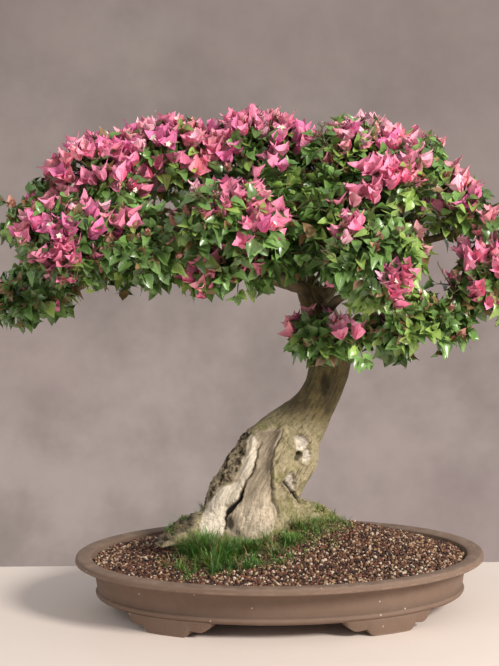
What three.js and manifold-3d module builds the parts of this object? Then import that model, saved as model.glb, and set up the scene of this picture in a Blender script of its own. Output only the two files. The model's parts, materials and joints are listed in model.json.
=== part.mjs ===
// A flowering bougainvillea grown as a bonsai in an oval stoneware pot, about 0.6 m tall.
//
// Millimetres, +Z up, z = 0 on the table. The view of the photograph looks along +Y, with +X to its right.
// The origin is on the table under the middle of the whole plant's box, and the pot stands off that centre.
// The trunk leans to the right from a wide foot and turns back to a fork. Boughs leave it by a rule,
// each ends in one mass, and each mass is a stem with shoots, leaves and three-bracted blossoms fused on.

import * as THREE from "three";
import { mergeVertices } from "three/addons/utils/BufferGeometryUtils.js";
import Module from "manifold-3d";

const wasm = await Module();
wasm.setup();

// Driving dimensions
const POT_OFFSET = { x: 17, y: -38 };
const CLEARANCE = 0.3;

const POT = {
  halfLength: 250,
  halfWidth: 172,
  height: 70,
  footHeight: 19,
  bandHeight: 8,
  lipHeight: 9,
  flareHeight: 13,
  rimWidth: 20,
  ledgeDrop: 7.5,
  flareInset: 16,
  wallInset: 23,
  waistInset: 26,
  bandInset: 24,
  floorThickness: 8,
  wallThickness: 12,
  sides: 44,
  scaledRadius: 190,
};
const FOOT = { bearing: 53, halfSpan: 17, flatHalfSpan: 6.5, depth: 26, step: 0.42 };
const SOIL = { edgeDrop: 6, moundHeight: 33, moundX: 25, moundY: 42, shelf: 2.2, gap: 1.3, sides: 32, rings: 4 };
const MOSS = { x: -22, y: -22, halfLength: 118, halfWidth: 66, thickness: 7, sides: 20 };

// The trunk's stations: height, centre x, centre y, half width, half depth, lean of the section in degrees.
const TRUNK_STATIONS = [
  [82, -36, 47, 78, 60, 0],
  [96, -36, 46, 72, 54, 0],
  [113, -33, 45, 62, 48, 2],
  [135, -30, 44, 55, 44, 6],
  [156, -19, 43, 53, 41, 13],
  [178, -5, 42, 52, 39, 20],
  [198, 8, 41, 46, 36, 27],
  [216, 22, 40, 36, 33, 33],
  [232, 36, 38, 29, 29, 36],
  [249, 48, 37, 25, 26, 34],
  [274, 60, 35, 24, 24, 20],
  [300, 66, 34, 26, 23, 3],
  [328, 63, 33, 24, 22, -8],
  [353, 57, 31, 21, 20, -15],
  [376, 48, 29, 18.5, 18, -24],
  [401, 35, 26, 14, 14, -30],
];
const TRUNK = { sides: 20, rings: 20, flutes: 5, fluteDepth: 0.13, fluteTop: 235, footZ: 82 };

// Surface roots fused into the trunk: start, knee and end on the ground, and radii.
const ROOTS = [
  { from: [-52, 42, 88], knee: [-104, 14, 108], to: [-146, -16, 78], r0: 30, r1: 12 },
  { from: [-12, 58, 142], knee: [-22, 28, 128], to: [-27, 10, 78], r0: 28, r1: 27 },
  { from: [-4, 48, 98], knee: [38, 56, 108], to: [82, 74, 78], r0: 30, r1: 11 },
  { from: [-34, 56, 98], knee: [-38, 98, 108], to: [-44, 124, 80], r0: 32, r1: 12 },
];

// The crown's rows: the mass's name, the limb that its bough leaves, how far along that limb, the bough's
// radius there (0 where the mass grows straight from the trunk); then where the mass's middle lies, as a
// bearing round the fork in degrees (0 to the right, 90 away from the viewer), a reach from the fork and a
// height; then its half sizes outwards, sideways and up, and its share of blossom.
const FORK = new THREE.Vector3(38, 27, 390);
const CROWN = [
  ["left_low", "trunk", 0.99, 11, 187, 335, 392, [50, 66, 38], 0.2],
  ["left_tip", "left_low", 0.68, 5.2, 178, 338, 478, [42, 64, 44], 0.6],
  ["left_front", "left_low", 0.5, 5.8, 206, 305, 462, [52, 52, 46], 0.8],
  ["left_back", "left_low", 0.42, 6, 153, 300, 490, [58, 58, 46], 0.7],
  ["left_top", "left_low", 0.3, 6.4, 182, 248, 532, [58, 62, 46], 0.85],
  ["crest_left", "trunk", 0.95, 9, 176, 168, 552, [54, 66, 44], 1],
  ["flank_left", "crest_left", 0.24, 6.2, 213, 232, 452, [62, 54, 48], 0.45],
  ["flank_back", "crest_left", 0.3, 6.2, 137, 212, 520, [58, 60, 52], 0.8],
  ["left_inner", "left_low", 0.22, 5, 197, 186, 430, [62, 60, 42], 0.1],
  ["front", "trunk", 0.92, 7.5, 238, 172, 476, [52, 62, 50], 0.75],
  ["front_low", "front", 0.35, 5, 216, 118, 424, [56, 60, 40], 0.1],
  ["crest", "trunk", 1, 9, 150, 66, 556, [56, 62, 44], 1],
  ["back", "crest", 0.25, 7, 98, 178, 505, [54, 66, 54], 0.75],
  ["crest_right", "crest", 0.3, 7, 20, 72, 546, [48, 60, 46], 0.9],
  ["right_top", "trunk", 0.88, 8.5, 4, 142, 534, [54, 62, 46], 0.9],
  ["right_front", "trunk", 0.84, 7, 300, 150, 436, [52, 56, 50], 0.75],
  ["right_far", "right_top", 0.4, 6, 356, 222, 482, [50, 60, 44], 0.6],
  ["right_tip", "trunk", 0.78, 8.5, 352, 236, 396, [54, 62, 44], 0.65],
  ["right_low", "right_tip", 0.3, 5.4, 330, 150, 352, [60, 48, 34], 0.15],
  ["right_back", "right_top", 0.28, 6, 42, 182, 470, [60, 60, 54], 0.7],
  ["trunk_shoot", "trunk", 0.74, 0, 285, 56, 334, [28, 34, 30], 0.3],
];
const BOUGH = {
  tipRadius: 3.6,
  taper: 0.8,
  entry: 0.62,
  entryDrop: 0.2,
  heading: 0.3,
  bend: 0.35,
  lift: { left_low: 0.2, other: -0.06 },
  sides: 6,
  steps: 6,
};

// The growth rule: how many shoots a mass has, where they leave its stem, and where its leaves stand.
const GROWTH = {
  shoots: 5,
  firstShoot: 0.3,
  shootZone: 0.65,
  shootReach: 0.66,
  shortestReach: 0.2,
  reachStep: 0.14,
  turnJitter: 0.8,
  lowestLatitude: -0.55,
  goldenAngle: 137.508,
  stemTip: 2.6,
  stemBeyond: 0.3,
  shootRadius: 1.5,
  shootTip: 0.9,
  bloomLatitude: -0.3,
  skyward: 0.5,
  leafShares: [0.5, 0.78],
  tuftShare: 0.96,
  rootReach: 5,
  sizes: [1, 0.84, 0.7],
  leaf: { length: 50, width: 0.64, spread: 64, fold: -0.06 },
  youngLeaf: { length: 42, width: 0.62, spread: 52, fold: -0.04 },
  bract: { length: 44, width: 0.72, spread: 50, fold: 0.06 },
  thickness: 0.045,
  margin: 0.8,
  woodGap: 2,
  overrun: 1.5,
};

const COLOURS = {
  pot: 0x6b5547,
  soil: 0x5a4238,
  moss: 0x4c7a2c,
  bark: 0x7d6f4c,
  leaf: 0x3f7d2c,
  bract: 0xd0649a,
};

const radians = THREE.MathUtils.degToRad;
const vec = (x, y, z) => new THREE.Vector3(x, y, z);

// The next numbers, 0 to 1, of a series that a seed fixes.
function seededSeries(seed) {
  let state = seed >>> 0;
  return () => {
    state = (Math.imul(state, 1664525) + 1013904223) >>> 0;
    return state / 4294967296;
  };
}

// Solids and geometries

function solidOf(geometry) {
  const bare = geometry.clone();
  bare.deleteAttribute("normal");
  bare.deleteAttribute("uv");
  const merged = mergeVertices(bare, 1e-4);
  return new wasm.Manifold(
    new wasm.Mesh({
      numProp: 3,
      vertProperties: new Float32Array(merged.attributes.position.array),
      triVerts: new Uint32Array(merged.index.array),
    }),
  );
}

function geometryOf(solid) {
  const mesh = solid.getMesh();
  const points = new Float32Array(mesh.numVert * 3);
  for (let i = 0; i < mesh.numVert; i++) {
    points.set(mesh.vertProperties.subarray(i * mesh.numProp, i * mesh.numProp + 3), i * 3);
  }
  const geometry = new THREE.BufferGeometry();
  geometry.setAttribute("position", new THREE.BufferAttribute(points, 3));
  geometry.setIndex(new THREE.BufferAttribute(new Uint32Array(mesh.triVerts), 1));
  return geometry;
}

// The largest of the bodies that a cut leaves.
function largestBody(solid) {
  return solid.decompose().reduce((best, body) => (body.volume() > best.volume() ? body : best));
}

// Moves every vertex of a geometry by a rule.
function reshape(geometry, rule) {
  const position = geometry.attributes.position;
  const point = new THREE.Vector3();
  for (let i = 0; i < position.count; i++) {
    point.fromBufferAttribute(position, i);
    const moved = rule(point.clone());
    position.setXYZ(i, moved.x, moved.y, moved.z);
  }
  return geometry;
}

// A closed tapering limb along a curve: a capped cylinder whose rings follow the curve.
function limbGeometry(curve, radiusAt, sides, steps) {
  const frames = Array.from({ length: steps + 1 }, (_, i) => {
    const along = curve.getTangentAt(i / steps);
    const side = vec(0, 0, 1).cross(along);
    if (side.lengthSq() < 1e-4) side.set(1, 0, 0);
    side.normalize();
    return { centre: curve.getPointAt(i / steps), side, up: along.clone().cross(side).normalize() };
  });
  return reshape(new THREE.CylinderGeometry(1, 1, 1, sides, steps), (p) => {
    const step = Math.round((p.y + 0.5) * steps);
    const { centre, side, up } = frames[step];
    const radius = radiusAt(step / steps);
    return centre.clone().addScaledVector(side, p.z * radius).addScaledVector(up, p.x * radius);
  });
}

// The pot

// A lathe turned on the long half axis, drawn in to an oval with a wall of even width.
function ovalLathe(profile, sides) {
  const inward = POT.halfLength - POT.halfWidth;
  const squeeze = (r) => (Math.max(r, POT.scaledRadius) - inward) / Math.max(r, POT.scaledRadius);
  const lathe = new THREE.LatheGeometry(profile.map(([r, z]) => new THREE.Vector2(r, z)), sides);
  return reshape(lathe, (p) => vec(p.x, -p.z * squeeze(Math.hypot(p.x, p.z)), p.y));
}

// The pot's inside: the rim's inner edge, a ledge under the soil's edge, the wall and the floor.
const potInside = [
  [POT.halfLength - POT.rimWidth, POT.height - 1.5],
  [POT.halfLength - POT.rimWidth - 0.3, POT.height - POT.ledgeDrop],
  [POT.halfLength - POT.wallInset - POT.wallThickness, POT.height - POT.ledgeDrop - 5],
  [POT.halfLength - POT.waistInset - POT.wallThickness, POT.footHeight + POT.floorThickness],
];

function potBody() {
  const { halfLength: a, footHeight: foot, height } = POT;
  const bandTop = foot + POT.bandHeight;
  const lipFoot = height - POT.lipHeight;
  return solidOf(
    ovalLathe(
      [
        [0, foot],
        [a - POT.bandInset - 7, foot],
        [a - POT.bandInset, foot + 4],
        [a - POT.bandInset, bandTop - 1],
        [a - POT.waistInset, bandTop + 1.5],
        [a - POT.wallInset, lipFoot - POT.flareHeight],
        [a - POT.flareInset, lipFoot - 2.5],
        [a - 3, lipFoot],
        [a, lipFoot + 3],
        [a - 2, height],
        ...potInside,
        [0, potInside.at(-1)[1]],
      ],
      POT.sides,
    ),
  );
}

// One foot: a bracket with stepped ends, bent along the pot's lower band.
function footSolid(bearing) {
  const { halfSpan, flatHalfSpan, step, depth } = FOOT;
  const top = POT.footHeight + 2;
  const ledge = top * step;
  const outline = new THREE.Shape();
  outline.moveTo(-flatHalfSpan, 0);
  outline.lineTo(flatHalfSpan, 0);
  outline.quadraticCurveTo(flatHalfSpan + 2, ledge * 0.2, flatHalfSpan + 2.5, ledge);
  outline.lineTo(halfSpan - 4, ledge * 0.8);
  outline.quadraticCurveTo(halfSpan, ledge, halfSpan, top);
  for (let i = 1; i < 8; i++) outline.lineTo(halfSpan * (1 - i / 4), top);
  outline.lineTo(-halfSpan, top);
  outline.quadraticCurveTo(-halfSpan, ledge, 4 - halfSpan, ledge * 0.8);
  outline.lineTo(-flatHalfSpan - 2.5, ledge);
  outline.quadraticCurveTo(-flatHalfSpan - 2, ledge * 0.2, -flatHalfSpan, 0);
  const block = new THREE.ExtrudeGeometry(outline, { depth, bevelEnabled: false, curveSegments: 4 });
  return solidOf(
    reshape(block, (p) => {
      const angle = radians(bearing + p.x);
      const inset = POT.bandInset + 1 + depth - p.z;
      return vec(
        (POT.halfLength - inset) * Math.cos(angle),
        (POT.halfWidth - inset) * Math.sin(angle),
        p.y,
      );
    }),
  );
}

// The body with its four feet, one fired piece.
function potSolid() {
  const bearings = [FOOT.bearing, 180 - FOOT.bearing, 180 + FOOT.bearing, -FOOT.bearing];
  return bearings.reduce((pot, bearing) => pot.add(footSolid(bearing)), potBody());
}

// Soil and moss

const soilEdge = { a: POT.halfLength - POT.rimWidth - 1.5, b: POT.halfWidth - POT.rimWidth - 1.5 };

// Height of the soil's top at a point: nearly level at the rim, mounded round the trunk.
function soilHeight(x, y) {
  const out = Math.min(1, Math.hypot(x / soilEdge.a, y / soilEdge.b));
  const near = Math.hypot((x - SOIL.moundX) / soilEdge.a, (y - SOIL.moundY) / soilEdge.b);
  const mound = SOIL.moundHeight * Math.exp(-1.6 * near * near) * (1 - out ** 6);
  return POT.height - SOIL.edgeDrop + mound;
}

function soilSolid() {
  const [, , wall, foot] = potInside;
  const floor = foot[1] + CLEARANCE;
  const edge = POT.height - SOIL.edgeDrop;
  const top = Array.from({ length: SOIL.rings }, (_, i) => [soilEdge.a * (1 - (i + 1) / SOIL.rings), edge]);
  const profile = [
    [0, floor],
    [foot[0] - SOIL.gap, floor],
    [wall[0] - SOIL.gap, wall[1] + 0.9],
    [soilEdge.a - SOIL.shelf, edge],
    ...top,
  ];
  return solidOf(
    reshape(ovalLathe(profile, SOIL.sides), (p) => {
      if (p.z >= edge - 1e-3) p.z = soilHeight(p.x, p.y);
      return p;
    }),
  );
}

// A low cushion of moss and grass over the soil at the trunk's foot, cut clear of both.
function mossSolid(soil, trunkClear) {
  const profile = [[0, 0], [1, 0], [0.98, 0.55], [0.82, 0.95], [0.5, 1], [0, 1]].map(
    ([r, z]) => new THREE.Vector2(r, z),
  );
  const sunk = 4;
  const cushion = reshape(new THREE.LatheGeometry(profile, MOSS.sides), (p) => {
    const angle = Math.atan2(-p.z, p.x);
    const ragged = 1 + 0.07 * Math.sin(3 * angle + 0.6) + 0.05 * Math.sin(7 * angle);
    const x = MOSS.x + MOSS.halfLength * p.x * ragged;
    const y = MOSS.y - MOSS.halfWidth * p.z * ragged;
    return vec(x, y, soilHeight(x, y) - sunk + p.y * (MOSS.thickness + sunk));
  });
  return largestBody(solidOf(cushion).subtract(soil.translate([0, 0, CLEARANCE])).subtract(trunkClear));
}

// The trunk

const trunkCentres = new THREE.CatmullRomCurve3(TRUNK_STATIONS.map(([z, x, y]) => vec(x, y, z)));
const trunkSizes = new THREE.CatmullRomCurve3(
  TRUNK_STATIONS.map(([, , , width, depth, lean]) => vec(width, depth, lean)),
);

// A point of the trunk's surface at a share of its length and an angle round it, grown by extra.
function trunkPoint(share, angle, extra) {
  const centre = trunkCentres.getPoint(share);
  const size = trunkSizes.getPoint(share);
  const flared = Math.max(0, Math.min(1, (TRUNK.fluteTop - centre.z) / (TRUNK.fluteTop - TRUNK.footZ)));
  const flute = 1 + TRUNK.fluteDepth * flared * Math.cos(TRUNK.flutes * angle + 2.4 * share + 0.5);
  const across = (size.x * flute + extra) * Math.cos(angle);
  const deep = (size.y * flute + extra) * Math.sin(angle);
  const lean = radians(size.z);
  return centre.add(vec(across * Math.cos(lean), deep, -across * Math.sin(lean)));
}

function trunkSolid(extra) {
  const { sides, rings } = TRUNK;
  const stock = new THREE.CylinderGeometry(1, 1, 1, sides, rings);
  let solid = solidOf(
    reshape(stock, (p) => {
      const share = p.y + 0.5;
      if (Math.hypot(p.x, p.z) > 0.5) return trunkPoint(share, Math.atan2(-p.z, p.x), extra);
      return trunkCentres.getPoint(share);
    }),
  );
  for (const { from, knee, to, r0, r1 } of ROOTS) {
    const curve = new THREE.QuadraticBezierCurve3(vec(...from), vec(...knee), vec(...to));
    const root = limbGeometry(curve, (t) => r0 + (r1 - r0) * t + extra, 10, 5);
    solid = solid.add(solidOf(root));
  }
  return solid.trimByPlane([0, 0, 1], TRUNK.footZ - extra);
}

// The crown's frame: a curve and radii for each limb, a centre and axes for each mass

function placeMass([name, from, share, root, bearing, reach, height, [along, across, deep], bloom]) {
  const outward = vec(Math.cos(radians(bearing)), Math.sin(radians(bearing)), 0);
  const sideways = vec(-outward.y, outward.x, 0);
  const centre = FORK.clone().addScaledVector(outward, reach).setZ(height);
  return { name, from, share, root, outward, sideways, centre, along, across, deep, bloom };
}

// The limb's curve from its parent to the place where it enters its mass. A mass that grows straight from
// the trunk has no bough, only the line from the trunk's middle to just under its bark.
function boughCurve(mass, parent) {
  const start = parent.curve.getPointAt(mass.share);
  const heading = parent.curve.getTangentAt(mass.share);
  const way = mass.centre.clone().sub(start);
  if (mass.root === 0) {
    const skin = parent.radiusAt(mass.share) * 0.9;
    return new THREE.LineCurve3(start, start.clone().addScaledVector(way.normalize(), skin));
  }
  const arrival = vec(mass.outward.x, mass.outward.y, way.z / way.length()).normalize();
  const end = mass.centre.clone().addScaledVector(arrival, -mass.along * BOUGH.entry);
  end.z -= mass.deep * BOUGH.entryDrop;
  const length = end.distanceTo(start);
  const lift = BOUGH.lift[mass.name] ?? BOUGH.lift.other;
  const swing = heading.multiplyScalar(BOUGH.heading).add(way.normalize()).normalize();
  return new THREE.CubicBezierCurve3(
    start,
    start.clone().addScaledVector(swing, length * BOUGH.bend),
    end.clone().addScaledVector(arrival, -length * BOUGH.bend).add(vec(0, 0, length * lift)),
    end,
  );
}

function limbFrames(masses) {
  const limbs = new Map([["trunk", { curve: trunkCentres, radiusAt: (t) => trunkSizes.getPoint(t).x }]]);
  for (const mass of masses) {
    const curve = boughCurve(mass, limbs.get(mass.from));
    const radiusAt = (t) => mass.root + (BOUGH.tipRadius - mass.root) * t ** BOUGH.taper;
    limbs.set(mass.name, { curve, radiusAt });
  }
  return limbs;
}

function boughSolid({ curve, radiusAt }, extra) {
  return solidOf(limbGeometry(curve, (t) => radiusAt(t) + extra, BOUGH.sides, BOUGH.steps));
}

// How far inside its own space a point lies: the flat borders with the neighbours, and the reach outwards.
function roomAt(mass, masses, point) {
  let room = Infinity;
  const weight = (m) => (m.along * m.across * m.deep) ** (2 / 3);
  for (const other of masses) {
    if (other === mass) continue;
    const apart = mass.centre.distanceTo(other.centre);
    const own = mass.centre.distanceToSquared(point) - weight(mass);
    const theirs = other.centre.distanceToSquared(point) - weight(other);
    room = Math.min(room, (theirs - own) / (2 * apart));
  }
  const out = point.clone().sub(mass.centre);
  const share = Math.hypot(
    out.dot(mass.outward) / mass.along,
    out.dot(mass.sideways) / mass.across,
    out.z / mass.deep,
  );
  return share > GROWTH.overrun ? -1 : room;
}

// Foliage

// A leaf or bract of eight faces: a thin, folded octahedron from its base along an axis.
function bladeGeometry(base, axis, face, length, { width, fold }) {
  const side = face.clone().cross(axis).normalize();
  const up = axis.clone().cross(side).normalize();
  const thick = length * GROWTH.thickness;
  const corners = {
    x: (s) => (s > 0 ? { u: length, v: 0, w: -0.12 * length } : { u: 0, v: 0, w: 0 }),
    y: (s) => ({ u: 0.42 * length, v: (s * width * length) / 2, w: fold * length }),
    z: (s) => ({ u: 0.45 * length, v: 0, w: (s * thick) / 2 }),
  };
  return reshape(new THREE.OctahedronGeometry(1, 0), (p) => {
    const name = Math.abs(p.x) > 0.5 ? "x" : Math.abs(p.y) > 0.5 ? "y" : "z";
    const { u, v, w } = corners[name](Math.sign(p[name]));
    return base.clone().addScaledVector(axis, u).addScaledVector(side, v).addScaledVector(up, w);
  });
}

// How far the far corners of a solid's box lie from a point.
function farthest(solid, point) {
  if (solid.isEmpty()) return 0;
  const { min, max } = solid.boundingBox();
  return Math.max(vec(...min).distanceTo(point), vec(...max).distanceTo(point));
}

// Whether every corner of a geometry, and every point halfway to its middle, lies in the mass's own space.
function keepsSpace(geometry, mass, masses) {
  const position = geometry.attributes.position;
  const middle = new THREE.Vector3();
  const corners = Array.from({ length: position.count }, (_, i) => {
    const corner = new THREE.Vector3().fromBufferAttribute(position, i);
    middle.addScaledVector(corner, 1 / position.count);
    return corner;
  });
  const probes = corners.concat(corners.map((corner) => corner.clone().lerp(middle, 0.5)));
  return probes.every((probe) => roomAt(mass, masses, probe) > GROWTH.margin);
}

// The growth rule. A stem enters the mass, and shoots leave it towards points spread evenly over the mass
// by the golden angle. Leaves stand along each shoot, and three bracts or small leaves end it.
function massSolid(mass, masses, limbs, standing, wood, index) {
  const random = seededSeries(977 + 31 * index);
  const limb = limbs.get(mass.name);
  const arrival = limb.curve.getTangentAt(1);
  const entry = limb.curve.getPointAt(1).addScaledVector(arrival, CLEARANCE);
  const stemLength = mass.along * (BOUGH.entry + GROWTH.stemBeyond);
  const stem = new THREE.LineCurve3(entry, entry.clone().addScaledVector(arrival, stemLength));
  const stemRadius = (t) => BOUGH.tipRadius + (GROWTH.stemTip - BOUGH.tipRadius) * t;
  let solid = largestBody(solidOf(limbGeometry(stem, stemRadius, 3, 1)).subtract(standing));
  // The body of a geometry that keeps to the mass's space and off the wood, or null.
  const fitted = (geometry) => {
    if (!keepsSpace(geometry, mass, masses)) return null;
    const body = solidOf(geometry);
    return body.intersect(wood).isEmpty() ? body : null;
  };

  for (let k = 0; k < GROWTH.shoots; k++) {
    const latitude = 1 - ((k + 0.5) * (1 - GROWTH.lowestLatitude)) / GROWTH.shoots;
    const turn = radians(GROWTH.goldenAngle) * k + random() * GROWTH.turnJitter;
    const level = Math.sqrt(1 - latitude * latitude);
    const spot = new THREE.Vector3()
      .addScaledVector(mass.outward, mass.along * level * Math.cos(turn))
      .addScaledVector(mass.sideways, mass.across * level * Math.sin(turn))
      .add(vec(0, 0, mass.deep * latitude));
    const start = stem.getPointAt(GROWTH.firstShoot + (GROWTH.shootZone * (k + random())) / GROWTH.shoots);
    let shoot = null;
    let twig = null;
    for (let reach = GROWTH.shootReach; reach > GROWTH.shortestReach && !twig; reach -= GROWTH.reachStep) {
      const tip = mass.centre.clone().addScaledVector(spot, reach);
      shoot = new THREE.LineCurve3(start, tip);
      const radiusAt = (t) => GROWTH.shootRadius + (GROWTH.shootTip - GROWTH.shootRadius) * t;
      twig = fitted(limbGeometry(shoot, radiusAt, 3, 1));
    }
    if (!twig) continue;
    solid = solid.add(twig);

    // A blade stands on one of the shoot's three flat sides, counted round from k.
    const grow = (share, side, kind) => {
      const along = shoot.getTangentAt(share);
      const across = vec(0, 0, 1).cross(along).normalize();
      const round = across.applyAxisAngle(along, radians(60 + 120 * ((side + k) % 3)));
      const spread = radians(kind.spread + 8 * (random() - 0.5));
      const axis = along.clone().multiplyScalar(Math.cos(spread)).addScaledVector(round, Math.sin(spread));
      const length = kind.length * (0.85 + 0.3 * random());
      const base = shoot.getPointAt(share);
      const sky = base.clone().sub(FORK).normalize().add(vec(0, 0, GROWTH.skyward));
      const face = kind === GROWTH.bract ? along : sky;
      for (const size of GROWTH.sizes) {
        const blade = fitted(bladeGeometry(base, axis, face, length * size, kind));
        if (!blade || farthest(blade.intersect(solid), base) > GROWTH.rootReach) continue;
        solid = solid.add(blade);
        return;
      }
    };
    GROWTH.leafShares.forEach((share, n) => grow(share, n, GROWTH.leaf));
    const blooms = random() < mass.bloom && latitude > GROWTH.bloomLatitude;
    for (let n = 0; n < 3; n++) grow(GROWTH.tuftShare, n, blooms ? GROWTH.bract : GROWTH.youngLeaf);
  }
  return largestBody(solid);
}

// The whole plant

const finish = {
  pot: new THREE.MeshStandardMaterial({ color: COLOURS.pot, roughness: 0.75, metalness: 0 }),
  soil: new THREE.MeshStandardMaterial({ color: COLOURS.soil, roughness: 0.95, metalness: 0 }),
  moss: new THREE.MeshStandardMaterial({ color: COLOURS.moss, roughness: 0.95, metalness: 0 }),
  bark: new THREE.MeshStandardMaterial({ color: COLOURS.bark, roughness: 0.85, metalness: 0 }),
  leaf: new THREE.MeshStandardMaterial({ color: COLOURS.leaf, roughness: 0.45, metalness: 0 }),
  bract: new THREE.MeshStandardMaterial({ color: COLOURS.bract, roughness: 0.6, metalness: 0 }),
};

const plant = new THREE.Group();
plant.position.set(POT_OFFSET.x, POT_OFFSET.y, 0);

function addPiece(name, solid, material) {
  const mesh = new THREE.Mesh(geometryOf(solid), material);
  mesh.name = name;
  plant.add(mesh);
}

const masses = CROWN.map(placeMass);
const limbs = limbFrames(masses);
const trunk = trunkSolid(0);
const trunkClear = trunkSolid(CLEARANCE);
const soil = soilSolid();

addPiece("pot", potSolid(), finish.pot);
addPiece("soil", soil.subtract(trunkClear), finish.soil);
addPiece("moss", mossSolid(soil, trunkClear), finish.moss);
addPiece("trunk", trunk, finish.bark);

// Each bough is cut clear of the trunk and of the boughs before it, and foliage keeps off them all.
let standing = trunkClear;
let wood = trunkSolid(GROWTH.woodGap);
for (const mass of masses.filter(({ root }) => root > 0)) {
  const limb = limbs.get(mass.name);
  addPiece(`bough_${mass.name}`, largestBody(boughSolid(limb, 0).subtract(standing)), finish.bark);
  standing = standing.add(boughSolid(limb, CLEARANCE));
  wood = wood.add(boughSolid(limb, GROWTH.woodGap));
}

masses.forEach((mass, index) => {
  const material = mass.bloom > 0.5 ? finish.bract : finish.leaf;
  addPiece(`foliage_${mass.name}`, massSolid(mass, masses, limbs, standing, wood, index), material);
});

export default plant;
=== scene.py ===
"""A flowering bougainvillea bonsai in an oval pot, dressed round its packed CAD frame."""

import functools
import itertools
import json
import math

import bpy
import bmesh
import numpy as np
from mathutils import Matrix, Vector
from mathutils.bvhtree import BVHTree

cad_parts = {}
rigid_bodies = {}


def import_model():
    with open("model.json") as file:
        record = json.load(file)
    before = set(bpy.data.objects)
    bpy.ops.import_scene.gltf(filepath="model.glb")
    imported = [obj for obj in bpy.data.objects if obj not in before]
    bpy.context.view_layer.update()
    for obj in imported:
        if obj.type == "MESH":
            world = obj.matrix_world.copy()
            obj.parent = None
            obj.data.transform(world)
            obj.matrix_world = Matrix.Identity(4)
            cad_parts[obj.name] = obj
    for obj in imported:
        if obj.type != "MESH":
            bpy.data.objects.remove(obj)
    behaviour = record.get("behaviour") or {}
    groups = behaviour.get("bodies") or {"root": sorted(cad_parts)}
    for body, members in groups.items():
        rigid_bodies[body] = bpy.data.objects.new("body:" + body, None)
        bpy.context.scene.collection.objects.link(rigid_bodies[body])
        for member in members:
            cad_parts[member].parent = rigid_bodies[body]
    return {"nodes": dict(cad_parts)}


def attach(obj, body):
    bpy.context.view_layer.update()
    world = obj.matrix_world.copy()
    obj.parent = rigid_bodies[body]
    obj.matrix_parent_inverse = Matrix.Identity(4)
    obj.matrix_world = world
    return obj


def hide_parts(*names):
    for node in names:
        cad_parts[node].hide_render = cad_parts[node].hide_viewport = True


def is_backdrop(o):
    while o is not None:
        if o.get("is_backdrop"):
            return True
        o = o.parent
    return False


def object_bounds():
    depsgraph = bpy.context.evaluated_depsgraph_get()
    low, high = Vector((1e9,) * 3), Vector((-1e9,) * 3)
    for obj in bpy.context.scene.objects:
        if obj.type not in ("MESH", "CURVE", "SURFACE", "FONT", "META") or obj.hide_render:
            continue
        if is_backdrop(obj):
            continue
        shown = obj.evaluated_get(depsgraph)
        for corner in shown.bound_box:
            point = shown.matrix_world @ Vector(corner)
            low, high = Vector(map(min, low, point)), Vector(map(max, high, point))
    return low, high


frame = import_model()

bl_info = {
    "name": "Bougainvillea bonsai",
    "version": (1, 0, 0),
    "blender": (4, 5, 0),
    "location": "View3D > Sidebar > Bonsai",
    "description": "Builds a flowering bougainvillea bonsai in its oval pot, piece by piece",
    "category": "Add Mesh",
}

# Shapes are worked out in millimetres with the pot's middle as origin, and set in the frame's metres.
MM = 0.001
POT_OFFSET = np.array([17.0, -38.0, 0.0])
UP = np.array([0.0, 0.0, 1.0])
CAD_LOW, CAD_HIGH = (np.array(corner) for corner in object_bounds())
CAMERA_PLACE = (0.0492, -2.238, 0.6396)
# Seeds of the random draws; numbered things count on from theirs
SEEDS = {
    "grains": 41, "grain shapes": 60, "moss bits": 88, "grass": 57,
    "masses": 977, "more shoots": 4021, "leaves": 300, "bracts": 400,
}
MERGE_REACH = 0.00001


# Settings


def length(label, description, default):
    return bpy.props.FloatProperty(
        name=label, description=description, default=default, subtype="DISTANCE", unit="LENGTH"
    )


def colour(label, description, default):
    return bpy.props.FloatVectorProperty(
        name=label, description=description, default=default, subtype="COLOR", size=3, min=0, max=1
    )


def count(label, description, default):
    return bpy.props.IntProperty(name=label, description=description, default=default, min=0)


def light(label, description, default):
    return bpy.props.FloatProperty(name=label, description=description, default=default)


class PotSettings(bpy.types.PropertyGroup):
    """Sizes and colours of the pot."""

    half_length: length("Half length", "From the middle of the pot to the rim's end", 0.250)
    half_width: length("Half width", "From the middle of the pot to the rim's side", 0.172)
    height: length("Height", "From the ground to the top of the rim", 0.070)
    foot_height: length("Foot height", "How far the feet lift the pot's body", 0.019)
    clay: colour("Clay", "Colour of the unglazed clay", (0.160, 0.102, 0.072))
    clay_pale: colour("Pale clay", "Colour of the clay where it is dusty or rubbed", (0.250, 0.170, 0.125))


class GroundSettings(bpy.types.PropertyGroup):
    """Sizes and colours of the soil, moss and grass."""

    grain_size: length("Grain size", "Mean width of a soil grain", 0.0038)
    blade_length: length("Grass length", "Mean length of a blade of grass", 0.0195)
    grass_tufts: count("Grass tufts", "How many tufts of grass grow round the trunk", 620)
    soil: colour("Soil", "Colour of the ground under the grains", (0.030, 0.018, 0.013))
    moss: colour("Moss", "Colour of the moss cushion", (0.060, 0.085, 0.020))


class BarkSettings(bpy.types.PropertyGroup):
    """Relief and colours of the trunk and boughs."""

    voxel: length("Relief step", "Size of the facets that carry the trunk's relief", 0.00145)
    live: colour("Live bark", "Colour of the living bark", (0.590, 0.485, 0.300))
    upper: colour("Upper bark", "Colour of the darker bark higher up", (0.135, 0.100, 0.046))
    dead: colour("Dead wood", "Colour of the bare weathered wood", (0.670, 0.550, 0.405))
    scar: colour("Scar", "Colour of the healed cuts", (0.78, 0.69, 0.57))


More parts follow.
